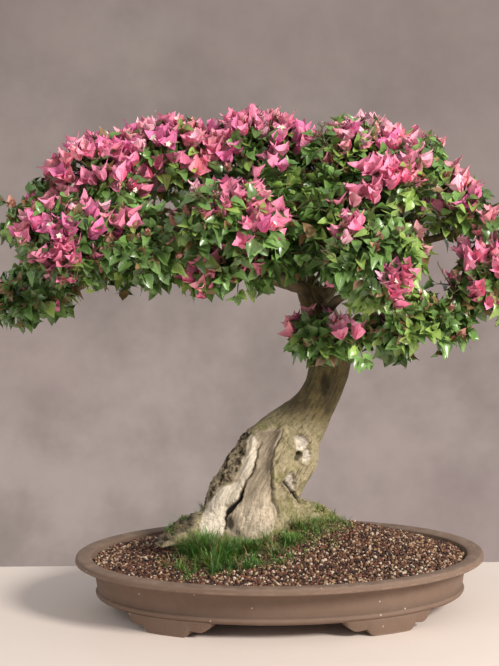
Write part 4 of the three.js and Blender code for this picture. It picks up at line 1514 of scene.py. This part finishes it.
# Columns of a row of leaves, bracts or florets
BASE, AXIS, FACE, SIZE, TINT = slice(0, 3), slice(3, 6), slice(6, 9), slice(9, 10), 10
BRACT_TINTS = {
    "pink": ((1.0, 1.0, 1.0), 0.40),
    "rose": ((0.90, 0.72, 0.95), 0.22),
    "salmon": ((1.0, 1.28, 0.98), 0.20),
    "pale": ((1.06, 1.75, 1.38), 0.10),
    "aged": ((0.74, 1.10, 0.74), 0.08),
    "young": ((0.66, 1.02, 0.50), 0.0),
}


class Growth:
    """Everything that the crown's rule grows: twigs, leaves, bracts and florets."""

    def __init__(self, leaf_length, bract_length):
        self.leaf_length, self.bract_length = leaf_length, bract_length
        self.twigs, self.leaves, self.bracts, self.florets = [], [], [], []

    def leaf(self, base, axis, face, size, tint):
        self.leaves.append((*base, *axis, *face, size, tint))

    def flower(self, rng, base, axis, size, tint, opening, florets):
        """Three cupped bracts round an axis, some with a small pale floret between them."""
        axis = unit(axis)
        side = unit(np.cross(axis, (0.31, 0.88, 0.36)))
        other = np.cross(axis, side)
        turn = rng.uniform(0, 2 * math.pi)
        tip = base + axis * size
        if not within_reach(tip, BLADE_LIMIT) or not within_box(tip, FLOWER_SPARE):
            return
        for k in range(3):
            angle = turn + k * 2 * math.pi / 3 + rng.uniform(-0.18, 0.18)
            outward = side * math.cos(angle) + other * math.sin(angle)
            tilt = opening + rng.uniform(-0.14, 0.14)
            way = axis * math.cos(tilt) + outward * math.sin(tilt)
            face = axis * math.sin(tilt) - outward * math.cos(tilt)
            self.bracts.append((*base, *way, *face, size * rng.uniform(0.88, 1.1), tint))
        if florets:
            outward = side * math.cos(turn + 1) + other * math.sin(turn + 1)
            lean = unit(axis + outward * 0.35)
            self.florets.append((*base, *lean, *outward, size * rng.uniform(0.56, 0.66), 0))


def around(heading, angle):
    """A direction square to a heading, turned about it by an angle."""
    side = unit(np.cross(heading, UP) + 1e-6)
    lift = np.cross(side, heading)
    return side * math.cos(angle) + lift * math.sin(angle)


def droop_line(start, end, sag, rows):
    """A shoot's line: out from its start, a little bowed by sag."""
    knee = (start + end) / 2 + UP * sag
    return bezier([start, knee, end], rows)


@functools.cache
def grow_crown(shoots, twigs, leaf_length, bract_length):
    masses, limbs = crown_frame()
    growth = Growth(leaf_length, bract_length)
    for index, mass in enumerate(masses):
        rng = np.random.default_rng(SEEDS["masses"] + 31 * index)
        path, _ = limbs[mass.name]
        arrival = path.heading(1)
        entry = path.at(1)
        stem_end = entry + arrival * mass.halves[0] * 1.05 + UP * mass.halves[2] * 0.25
        stem = Path(bezier([entry, entry + arrival * mass.halves[0] * 0.5, stem_end], 20))
        growth.twigs.append((stem.at(np.linspace(0, 1, 10)), np.linspace(BOUGH_TIP, 1.5, 10)))
        number = shoots if mass.root else max(6, shoots // 2)
        for k in range(number):
            grow_shoot(growth, rng, mass, masses, stem, k, number, twigs)
        if mass.root:
            fill_bough(growth, rng, mass, path)
    add_more_shoots(growth, masses, limbs)
    growth.leaves = [row for row in growth.leaves if not in_opening(row, 0.5)]
    growth.bracts = [row for row in growth.bracts if not in_opening(row, 0)]
    growth.florets = [row for row in growth.florets if not in_opening(row, 0)]
    growth.twigs = [twig for twig in growth.twigs if not in_opening(twig[0][-1], 0)]
    return growth


def in_opening(row, share):
    """Whether a blade, at that share of its length, lies in an opening as seen from the viewpoint."""
    point = np.array(row[:3])
    if share:
        point += np.array(row[3:6]) * row[-2] * share
    nearer = (OPENINGS_DEPTH - VIEWPOINT[1]) / (point[1] - VIEWPOINT[1])
    across, _, height = VIEWPOINT + (point - VIEWPOINT) * nearer
    return any(math.hypot((across - x) / wide, (height - z) / high) < 1 for (x, z), (wide, high) in OPENINGS)


def add_more_shoots(growth, masses, limbs):
    """The shoots of MORE_SHOOTS, each from the nearest limb."""
    spots = [limbs["trunk"][0].at(np.linspace(0.8, 1, 20))]
    spots += [limbs[mass.name][0].at(np.linspace(0.05, 1, 40)) for mass in masses]
    spots = np.vstack(spots)
    for k, (low, high, number, bloom) in enumerate(MORE_SHOOTS):
        rng = np.random.default_rng(SEEDS["more shoots"] + k)
        for _ in range(number):
            tip = rng.uniform(low, high)
            away = np.linalg.norm(spots - tip, axis=1) + 0.5 * np.maximum(0, spots[:, 2] - tip[2])
            start = spots[np.argmin(away)]
            mass = min(masses, key=lambda each: np.linalg.norm(each.middle - tip))
            if np.linalg.norm(tip - start) > 14:
                side_shoots(growth, rng, mass, start, tip, bloom)


def side_shoots(growth, rng, mass, start, tip, bloom):
    """One leafy shoot with three short twigs."""
    shoot = Path(droop_line(start, tip, rng.uniform(0, 8), 6))
    growth.twigs.append((shoot.points, np.linspace(1.4, 0.7, 6)))
    tint = pick(rng, LEAF_TINTS)
    dress_twig(growth, rng, mass, shoot, 0.2, tint, 0, bloom)
    for n in range(3):
        base = shoot.at(0.4 + 0.2 * n)
        aim = unit(rng.normal(0, 1, 3) + facing(mass, base) * 0.6)
        end = base + aim * rng.uniform(18, 30)
        if end[2] > tip[2] - 20 and within_box(end):
            twig = Path(droop_line(base, end, rng.uniform(-1, 3), 4))
            growth.twigs.append((twig.points, np.linspace(0.9, 0.5, 4)))
            dress_twig(growth, rng, mass, twig, 0.2, tint, 0, bloom * 0.5)


def fill_bough(growth, rng, mass, bough):
    """Leafy shoots from a bough's own length, which close the heart of the crown."""
    for k in range(BOUGH_SHOOTS):
        share = 0.35 + 0.62 * (k + rng.uniform()) / BOUGH_SHOOTS
        start, heading = bough.at(share), bough.heading(share)
        out = around(heading, GOLDEN_TURN * k + rng.uniform(0, 0.8))
        tip = start + unit(out + heading * 0.35) * rng.uniform(34, 66)
        if tip[2] < HEART_FLOOR or start[2] < HEART_FLOOR or not within_box(tip):
            continue
        if np.hypot(*(tip - FORK)[:2]) < HEART_RADIUS:
            side_shoots(growth, rng, mass, start, tip, 0.03)


def facing(mass, point):
    """Which way is outwards from the crown at a point: from the mass and from the fork together."""
    local = mass.local(point) / mass.halves
    from_mass = unit(local @ mass.axes)
    from_fork = unit(point - FORK + UP * 60)
    return unit(from_mass + 0.8 * from_fork)


def grow_shoot(growth, rng, mass, masses, stem, k, number, twigs):
    latitude = 1 - (k + 0.5) * 1.66 / number
    level = math.sqrt(max(0, 1 - latitude**2))
    turn = GOLDEN_TURN * k + rng.uniform(0, 0.8)
    way = np.array([level * math.cos(turn), level * math.sin(turn), latitude])
    start = stem.at(0.12 + 0.85 * (k + rng.uniform()) / number)
    reach = rng.uniform(0.60, 0.90)
    while reach > 0.3:
        tip = mass.middle + (way * mass.halves * reach) @ mass.axes
        if room(mass, masses, tip)[0] > BORDER and within_box(tip):
            break
        reach -= 0.08
    line = droop_line(start, tip, rng.uniform(2, 12), 8)
    shoot = Path(line)
    growth.twigs.append((line, np.linspace(1.7, 0.8, 8)))
    tint = pick(rng, LEAF_TINTS)
    bract_tint = pick(rng, BRACT_TINTS)
    lowest = -0.55 - max(0, mass.bloom - 1)
    above = smoothstep(lowest, 0.3, facing(mass, tip)[2] + 0.35 * latitude)
    bloom = 0.9 if rng.uniform() < mass.bloom * above else 0.05
    dress_twig(growth, rng, mass, shoot, 0.35, tint, bract_tint, bloom)
    for n in range(twigs):
        share = 0.32 + 0.6 * (n + rng.uniform()) / twigs
        heading = shoot.heading(share)
        out = around(heading, GOLDEN_TURN * n + rng.uniform(0, 1.2))
        start = shoot.at(share)
        aim = unit(heading * 0.55 + out + facing(mass, start) * 0.55)
        span = rng.uniform(22, 42)
        while span > 9:
            tip = start + aim * span
            if room(mass, masses, tip)[0] > BORDER and within_box(tip) and crown_share(tip) < TWIG_LIMIT:
                break
            span *= 0.8
        else:
            continue
        twig = Path(droop_line(start, tip, rng.uniform(-1, 5), 5))
        growth.twigs.append((twig.points, np.linspace(1.0, 0.55, 5)))
        dress_twig(growth, rng, mass, twig, 0.22, tint, bract_tint, bloom)


def dress_twig(growth, rng, mass, twig, bare, tint, bract_tint, bloom):
    """Leaves along a twig by the golden angle, and blossom or young leaves at its end."""
    number = max(2, int(twig.length * (1 - bare) / LEAF_SPACING))
    roll = rng.uniform(0, 2 * math.pi)
    for n in range(number):
        share = bare + (1 - bare) * (n + 0.5) / number
        base, heading = twig.at(share), twig.heading(share)
        out = around(heading, roll + GOLDEN_TURN * n)
        outwards = facing(mass, base)
        face = unit(outwards * 0.8 + UP * 0.75 + rng.normal(0, 0.34, 3))
        aim = out + heading * 0.45 + outwards * 0.35 - UP * 0.4 + rng.normal(0, 0.2, 3)
        axis = unit(aim - face * (aim @ face))
        size = growth.leaf_length * rng.uniform(0.72, 1.12) * (1 - 0.22 * share)
        own = tint if rng.uniform() < 0.72 else rng.integers(0, LEAF_YOUNG)
        growth.leaf(base, axis, face, size, own)
    tip, heading = twig.at(1.0), twig.heading(1.0)
    outwards = facing(mass, tip)
    side = unit(np.cross(heading, (0.3, 0.2, 0.93)))
    other = np.cross(side, heading)
    if rng.uniform() < bloom:
        bloom_cluster(growth, rng, tip, heading, outwards, bract_tint)
    elif rng.uniform() < YOUNG_CHANCE and crown_share(tip) < BLADE_LIMIT:
        opening = math.radians(rng.uniform(8, 18))
        size = growth.bract_length * rng.uniform(0.42, 0.62)
        growth.flower(rng, tip, heading + UP, size, BRACT_YOUNG, opening, False)
    else:
        for n in range(3):
            angle = roll + n * 2.1
            out = side * math.cos(angle) + other * math.sin(angle)
            axis = unit(heading + out * 0.7)
            face = unit(heading - out * 0.6 + UP * 0.3)
            face = unit(face - axis * (face @ axis))
            own = LEAF_YOUNG if rng.uniform() < YOUNG_CHANCE else tint
            growth.leaf(tip, axis, face, growth.leaf_length * rng.uniform(0.45, 0.7), own)


def bloom_cluster(growth, rng, tip, heading, outwards, bract_tint):
    """One to four upright flowers on short stalks at a twig's end."""
    blossoms = rng.integers(1, 5)
    axis = unit(heading * 0.25 + outwards * 0.45 + UP * 0.9)
    side = unit(np.cross(axis, (0.2, 0.3, 0.93)))
    other = np.cross(axis, side)
    start = rng.uniform(0, 2 * math.pi)
    for n in range(blossoms):
        angle = start + n * 2 * math.pi / blossoms
        out = side * math.cos(angle) + other * math.sin(angle)
        apart = 0 if blossoms == 1 else rng.uniform(6, 11)
        base = tip + out * apart + axis * rng.uniform(1, 9)
        growth.twigs.append((np.linspace(tip - heading * 1.5, base, 3), np.array([0.6, 0.5, 0.5])))
        own = bract_tint if rng.uniform() < 0.75 else rng.integers(0, 4)
        size = growth.bract_length * rng.uniform(0.68, 1.05)
        lean = axis + out * 0.38 * (apart > 0) + rng.normal(0, 0.1, 3)
        opening = math.radians(rng.uniform(16, 40))
        growth.flower(rng, base, lean, size, own, opening, rng.uniform() < FLORET_CHANCE)


def blade_shape(stations, halves, cup, curl, wave, petiole, seed):
    """A leaf or bract of unit length, as a sheet of quads: x along, y across and z out of its face."""
    rng = np.random.default_rng(seed)
    columns = np.array([-1, 0, 1]) if petiole else np.array([-1, -0.5, 0, 0.5, 1])
    stations, halves = np.asarray(stations), np.asarray(halves)
    points, uv = [], []
    for station, half in zip(stations, halves):
        for column in columns:
            ripple = wave * abs(column) * math.sin(9 * station + 2.1 * column + seed)
            sheet = cup * (half * column) ** 2 * 4 + ripple - curl * station**2
            points.append((petiole + station, half * column + 0.02 * rng.normal() * (half > 0.1), sheet))
            uv.append((station, 0.5 + column / 2))
    points = np.array(points)
    width = len(columns)
    faces = [
        (r * width + c, (r + 1) * width + c, (r + 1) * width + c + 1, r * width + c + 1)
        for r in range(len(stations) - 1)
        for c in range(width - 1)
    ]
    if petiole:
        start = len(points)
        stalk = 0.018
        for x, z in ((0, 0), (petiole * 1.12, 0.004)):
            points = np.vstack([points, [(x, -stalk, z), (x, stalk, z), (x, 0, z - stalk)]])
        uv += [(0, 0.5)] * 6
        for a, b in ((0, 1), (1, 2), (2, 0)):
            faces.append((start + a, start + b, start + b + 3, start + a + 3))
    return points, np.array(faces), np.array(uv)


LEAF_STATIONS = [0, 0.14, 0.34, 0.56, 0.8, 1.0]
LEAF_HALVES = [0.02, 0.235, 0.33, 0.285, 0.13, 0.004]
BRACT_STATIONS = [0, 0.15, 0.36, 0.60, 0.83, 1.0]
BRACT_HALVES = [0.06, 0.25, 0.345, 0.27, 0.10, 0.004]


def blade_shapes(kind):
    if kind == "leaf":
        return [
            blade_shape(LEAF_STATIONS, LEAF_HALVES, cup, curl, 0.018, 0.24, seed)
            for seed, (cup, curl) in enumerate([(0.55, 0.14), (0.35, 0.25), (0.75, 0.08), (0.45, 0.34)])
        ]
    return [
        blade_shape(BRACT_STATIONS, BRACT_HALVES, cup, curl, 0.03, 0, seed)
        for seed, (cup, curl) in enumerate([(0.55, 0.05), (0.42, 0.18), (0.62, -0.06), (0.5, 0.12)])
    ]


def blades(rows, shapes, rng):
    """Points, faces and UVs of all the blades in rows of base, axis, face, size and tint."""
    rows = np.asarray(rows)
    base, axis, face, size = rows[:, BASE], unit(rows[:, AXIS]), unit(rows[:, FACE]), rows[:, SIZE]
    face = unit(face - axis * (face * axis).sum(1, keepdims=True))
    side = np.cross(face, axis)
    turns = np.stack([axis, side, face], axis=-1)
    shape_of = rng.integers(0, len(shapes), len(rows))
    widths = rng.uniform(0.88, 1.14, len(rows))
    points, faces, uvs, start = [], [], [], 0
    for k, (shape, quads, uv) in enumerate(shapes):
        chosen = shape_of == k
        ones = np.ones(chosen.sum())
        scale = size[chosen] * np.stack([ones, widths[chosen], ones], 1)
        more, more_faces = stamp(shape, quads, base[chosen], turns[chosen], scale)
        points.append(more)
        faces.append(more_faces + start)
        uvs.append(np.tile(uv, (len(ones), 1)))
        start += len(more)
    return np.vstack(points), np.vstack(faces), np.vstack(uvs)


def crown_growth():
    settings = bpy.context.scene.bonsai_crown
    return grow_crown(settings.shoots, settings.twigs, settings.leaf_length / MM, settings.bract_length / MM)


def foliage_nodes():
    return [f"foliage_{row[0]}" for row in CROWN]


def build_twigs():
    growth = crown_growth()
    points, faces = tubes(growth.twigs, 4)
    piece = array_piece("twigs", placed(points), faces)
    set_attribute(piece, "grain", points * MM)
    material = limb_material("twig_bark", (0.105, 0.082, 0.034), 330.0)
    return finish(piece, material, "bark", *foliage_nodes())


def kept_blades(rows):
    """The rows whose blades stay near the CAD box and out of the trunk."""
    rows = np.asarray(rows)
    tips = rows[:, BASE] + rows[:, AXIS] * rows[:, SIZE] * 1.2
    middles = rows[:, BASE] + rows[:, AXIS] * rows[:, SIZE] * 0.6
    near = within_box(tips, LEAF_SPARE) & within_reach(tips, BLADE_LIMIT + 0.04)
    return rows[near & clear_of_trunk(middles, 1.0) & clear_of_trunk(tips, 0.5)]


def build_leaves(settings):
    rows = kept_blades(crown_growth().leaves)
    shapes = blade_shapes("leaf")
    green = np.array(settings.leaf)
    for k, (name, (shift, _)) in enumerate(LEAF_TINTS.items()):
        chosen = rows[rows[:, TINT] == k]
        points, faces, uv = blades(chosen, shapes, np.random.default_rng(SEEDS["leaves"] + k))
        piece = array_piece(f"leaves_{name}", placed(points), faces, uv)
        tone = np.array(YOUNG_LEAF) if shift is None else green * shift
        vein = tuple(np.clip(tone * (1.9, 1.6, 1.8) + 0.01, 0, 1))
        material = blade_material(f"leaf_{name}", tuple(tone), vein, 0.34, 0.5, 0.45)
        finish(piece, material, "leaves", *foliage_nodes())


def build_bracts(settings):
    growth = crown_growth()
    rows = np.array(growth.bracts)
    shapes = blade_shapes("bract")
    pink = np.array(settings.bract)
    for k, (name, (shift, _)) in enumerate(BRACT_TINTS.items()):
        chosen = rows[rows[:, TINT] == k]
        points, faces, uv = blades(chosen, shapes, np.random.default_rng(SEEDS["bracts"] + k))
        piece = array_piece(f"bracts_{name}", placed(points), faces, uv)
        tone = np.clip(pink * shift, 0, 0.9)
        vein = tuple(tone * (0.72, 0.45, 0.6))
        material = blade_material(f"bract_{name}", tuple(tone), vein, 0.55, 0.45)
        finish(piece, material, "bracts", *foliage_nodes())
    build_florets(np.array(growth.florets))


def build_florets(rows):
    """Small pale stars on thin tubes, one in some of the flowers."""
    star, faces = [], []
    for x, radius in ((0, 0.045), (0.85, 0.07)):
        star += [(x, radius * math.cos(t), radius * math.sin(t)) for t in np.arange(5) * 2 * math.pi / 5]
    for n in range(10):
        radius = 0.33 if n % 2 == 0 else 0.19
        star.append((0.96, radius * math.cos(n * math.pi / 5), radius * math.sin(n * math.pi / 5)))
    star.append((0.9, 0, 0))
    for n in range(5):
        after = (n + 1) % 5
        faces += [(n, after, 5 + after), (n, 5 + after, 5 + n)]
    for n in range(10):
        faces.append((20, 10 + n, 10 + (n + 1) % 10))
    star, faces = np.array(star), np.array(faces)
    axis, face = unit(rows[:, AXIS]), rows[:, FACE]
    face = unit(face - axis * (face * axis).sum(1, keepdims=True))
    turns = np.stack([axis, np.cross(face, axis), face], axis=-1)
    points, all_faces = stamp(star, faces, rows[:, BASE], turns, np.repeat(rows[:, SIZE], 3, axis=1))
    piece = array_piece("florets", placed(points), all_faces, np.full((len(points), 2), 0.5))
    material = blade_material("floret", (0.86, 0.83, 0.70), (0.70, 0.68, 0.40), 0.5, 0.3)
    finish(piece, material, "bracts", *foliage_nodes())


# The stage: camera, table, backdrop and light

CAMERA_PITCH, CAMERA_YAW, CAMERA_ROLL = 0.135, -0.029, -0.017
CAMERA_LENS = 99.51
LIGHT_TARGET = (0.0, 0.0, 0.3)
TABLE_LENGTH, TABLE_DEPTH, TABLE_BACK = 9, 4.5, 0.165


def build_camera():
    p, y, r = CAMERA_PITCH, CAMERA_YAW, CAMERA_ROLL
    ahead = Vector((math.sin(y) * math.cos(p), math.cos(y) * math.cos(p), -math.sin(p)))
    right = Vector((math.cos(y), -math.sin(y), 0))
    up = right.cross(ahead)
    rolled_right = right * math.cos(r) + up * math.sin(r)
    rolled_up = up * math.cos(r) - right * math.sin(r)
    data = bpy.data.cameras.new("camera")
    data.lens = CAMERA_LENS
    data.sensor_width = 36
    data.clip_end = 60
    camera = bpy.data.objects.new("camera", data)
    camera.matrix_world = Matrix.Translation(CAMERA_PLACE) @ Matrix(
        (rolled_right, rolled_up, -ahead)
    ).transposed().to_4x4()
    bpy.context.scene.collection.objects.link(camera)
    bpy.context.scene.camera = camera


def add_area_light(name, place, size, power, tone):
    data = bpy.data.lights.new(name, "AREA")
    data.shape = "DISK"
    data.size = size
    data.energy = power
    data.color = tone
    lamp = bpy.data.objects.new(name, data)
    lamp.location = place
    lamp.rotation_euler = (Vector(LIGHT_TARGET) - Vector(place)).to_track_quat("-Z", "Y").to_euler()
    bpy.context.scene.collection.objects.link(lamp)


def build_table(settings):
    deselect_all()
    bpy.ops.mesh.primitive_plane_add(size=1)
    table = new_piece("table_top")
    table.scale = (TABLE_LENGTH, TABLE_DEPTH, 1)
    table.location = (0, TABLE_BACK - TABLE_DEPTH / 2, 0)
    settle(table)
    bpy.ops.object.mode_set(mode="EDIT")
    bpy.ops.mesh.select_all(action="SELECT")
    bpy.ops.mesh.extrude_region_move(TRANSFORM_OT_translate={"value": (0, 0, -0.03)})
    face_outwards()
    material, tree, shader = new_material("pale_table")
    blotches = mottle(tree, object_place(tree), 3.0)
    base = mix(tree, blotches, darker(settings.table, 0.96), settings.table)
    tree.links.new(base, shader.inputs["Base Color"])
    shader.inputs["Roughness"].default_value = 0.75
    table.data.materials.append(material)
    table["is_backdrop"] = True


def build_world(settings):
    world = bpy.data.worlds.new("studio")
    world.use_nodes = True
    bpy.context.scene.world = world
    tree = world.node_tree
    background = tree.nodes["Background"]
    way = add(tree, "TexCoord").outputs["Generated"]
    cloudy = spread(tree, noise(tree, way, 11.0, 5.0, 0.62), 0.32, 0.68)
    tinted = spread(tree, noise(tree, way, 6.0, 3.0, 0.5), 0.40, 0.62)
    seen = mix(tree, cloudy, darker(settings.backdrop, 0.80), darker(settings.backdrop, 1.22))
    seen = stain(tree, seen, tinted, 0.4, (0.400, 0.285, 0.280))
    # Painted shade: the backdrop darkens towards the top
    height = add(tree, "SeparateXYZ", {"Vector": way}).outputs["Z"]
    seen = mix(tree, spread(tree, height, -0.2, 0.05, 0.0, 0.42), seen, darker(settings.backdrop, 0.56))
    looking = add(tree, "LightPath").outputs["Is Camera Ray"]
    tree.links.new(mix(tree, looking, (0.92, 0.90, 0.90), seen), background.inputs["Color"])
    strength = add(tree, "MapRange", {"Value": looking, "To Min": settings.fill, "To Max": 1.0}).outputs[0]
    tree.links.new(strength, background.inputs["Strength"])


def build_stage(settings):
    build_camera()
    build_table(settings)
    build_world(settings)
    add_area_light("key_light", (2.25, -1.95, 1.75), 0.9, settings.key, (1.0, 0.96, 0.90))
    add_area_light("soft_light", (-1.8, -1.6, 1.5), 1.6, settings.key * 0.08, (0.95, 0.97, 1.0))
    bpy.context.scene.view_settings.view_transform = "Standard"


# Operators, panel and registration


class BONSAI_OT_stage(bpy.types.Operator):
    """Set up the camera, the table, the backdrop and the light"""

    bl_idname = "bonsai.stage"
    bl_label = "Stage"

    def execute(self, context):
        build_stage(context.scene.bonsai_stage)
        return {"FINISHED"}


class BONSAI_OT_pot(bpy.types.Operator):
    """Build the oval pot with its bracket feet"""

    bl_idname = "bonsai.pot"
    bl_label = "Pot"

    def execute(self, context):
        build_pot(context.scene.bonsai_pot)
        return {"FINISHED"}


class BONSAI_OT_soil(bpy.types.Operator):
    """Lay the soil grains and give the ground its finish"""

    bl_idname = "bonsai.soil"
    bl_label = "Soil"

    def execute(self, context):
        build_soil(context.scene.bonsai_ground)
        return {"FINISHED"}


class BONSAI_OT_moss(bpy.types.Operator):
    """Grow the moss cushion and the tufts of grass"""

    bl_idname = "bonsai.moss"
    bl_label = "Moss and grass"

    def execute(self, context):
        build_moss(context.scene.bonsai_ground)
        return {"FINISHED"}


class BONSAI_OT_trunk(bpy.types.Operator):
    """Cut the trunk's relief: bare wood, live bark, cracks and scars"""

    bl_idname = "bonsai.trunk"
    bl_label = "Trunk"

    def execute(self, context):
        build_trunk(context.scene.bonsai_bark)
        return {"FINISHED"}


class BONSAI_OT_boughs(bpy.types.Operator):
    """Grow the boughs from the trunk to their masses of foliage"""

    bl_idname = "bonsai.boughs"
    bl_label = "Boughs"

    def execute(self, context):
        build_boughs(context.scene.bonsai_bark)
        return {"FINISHED"}


class BONSAI_OT_twigs(bpy.types.Operator):
    """Grow the stems, shoots and twigs of every mass"""

    bl_idname = "bonsai.twigs"
    bl_label = "Twigs"

    def execute(self, context):
        build_twigs()
        return {"FINISHED"}


class BONSAI_OT_leaves(bpy.types.Operator):
    """Set the leaves along the twigs"""

    bl_idname = "bonsai.leaves"
    bl_label = "Leaves"

    def execute(self, context):
        build_leaves(context.scene.bonsai_crown)
        return {"FINISHED"}


class BONSAI_OT_bracts(bpy.types.Operator):
    """Set the pink bracts and the small florets at the twigs' ends"""

    bl_idname = "bonsai.bracts"
    bl_label = "Bracts"

    def execute(self, context):
        build_bracts(context.scene.bonsai_crown)
        return {"FINISHED"}


STEPS = (
    BONSAI_OT_stage,
    BONSAI_OT_pot,
    BONSAI_OT_soil,
    BONSAI_OT_moss,
    BONSAI_OT_trunk,
    BONSAI_OT_boughs,
    BONSAI_OT_twigs,
    BONSAI_OT_leaves,
    BONSAI_OT_bracts,
)
SETTINGS = {
    "bonsai_pot": PotSettings,
    "bonsai_ground": GroundSettings,
    "bonsai_bark": BarkSettings,
    "bonsai_crown": CrownSettings,
    "bonsai_stage": StageSettings,
}


class BONSAI_PT_panel(bpy.types.Panel):
    """Settings and steps of the bonsai"""

    bl_idname = "BONSAI_PT_panel"
    bl_label = "Bonsai"
    bl_space_type = "VIEW_3D"
    bl_region_type = "UI"
    bl_category = "Bonsai"

    def draw(self, context):
        for name, group in SETTINGS.items():
            box = self.layout.box()
            box.label(text=group.__doc__)
            for key in group.__annotations__:
                box.prop(getattr(context.scene, name), key)
        for step in STEPS:
            self.layout.operator(step.bl_idname)


def register():
    for group in SETTINGS.values():
        bpy.utils.register_class(group)
    for name, group in SETTINGS.items():
        setattr(bpy.types.Scene, name, bpy.props.PointerProperty(type=group))
    for step in STEPS:
        bpy.utils.register_class(step)
    bpy.utils.register_class(BONSAI_PT_panel)


def unregister():
    bpy.utils.unregister_class(BONSAI_PT_panel)
    for step in reversed(STEPS):
        bpy.utils.unregister_class(step)
    for name, group in SETTINGS.items():
        delattr(bpy.types.Scene, name)
        bpy.utils.unregister_class(group)


def main():
    register()
    bpy.ops.bonsai.stage()
    bpy.ops.bonsai.pot()
    bpy.ops.bonsai.soil()
    bpy.ops.bonsai.moss()
    bpy.ops.bonsai.trunk()
    bpy.ops.bonsai.boughs()
    bpy.ops.bonsai.twigs()
    bpy.ops.bonsai.leaves()
    bpy.ops.bonsai.bracts()
    deselect_all()


if __name__ == "__main__":
    main()
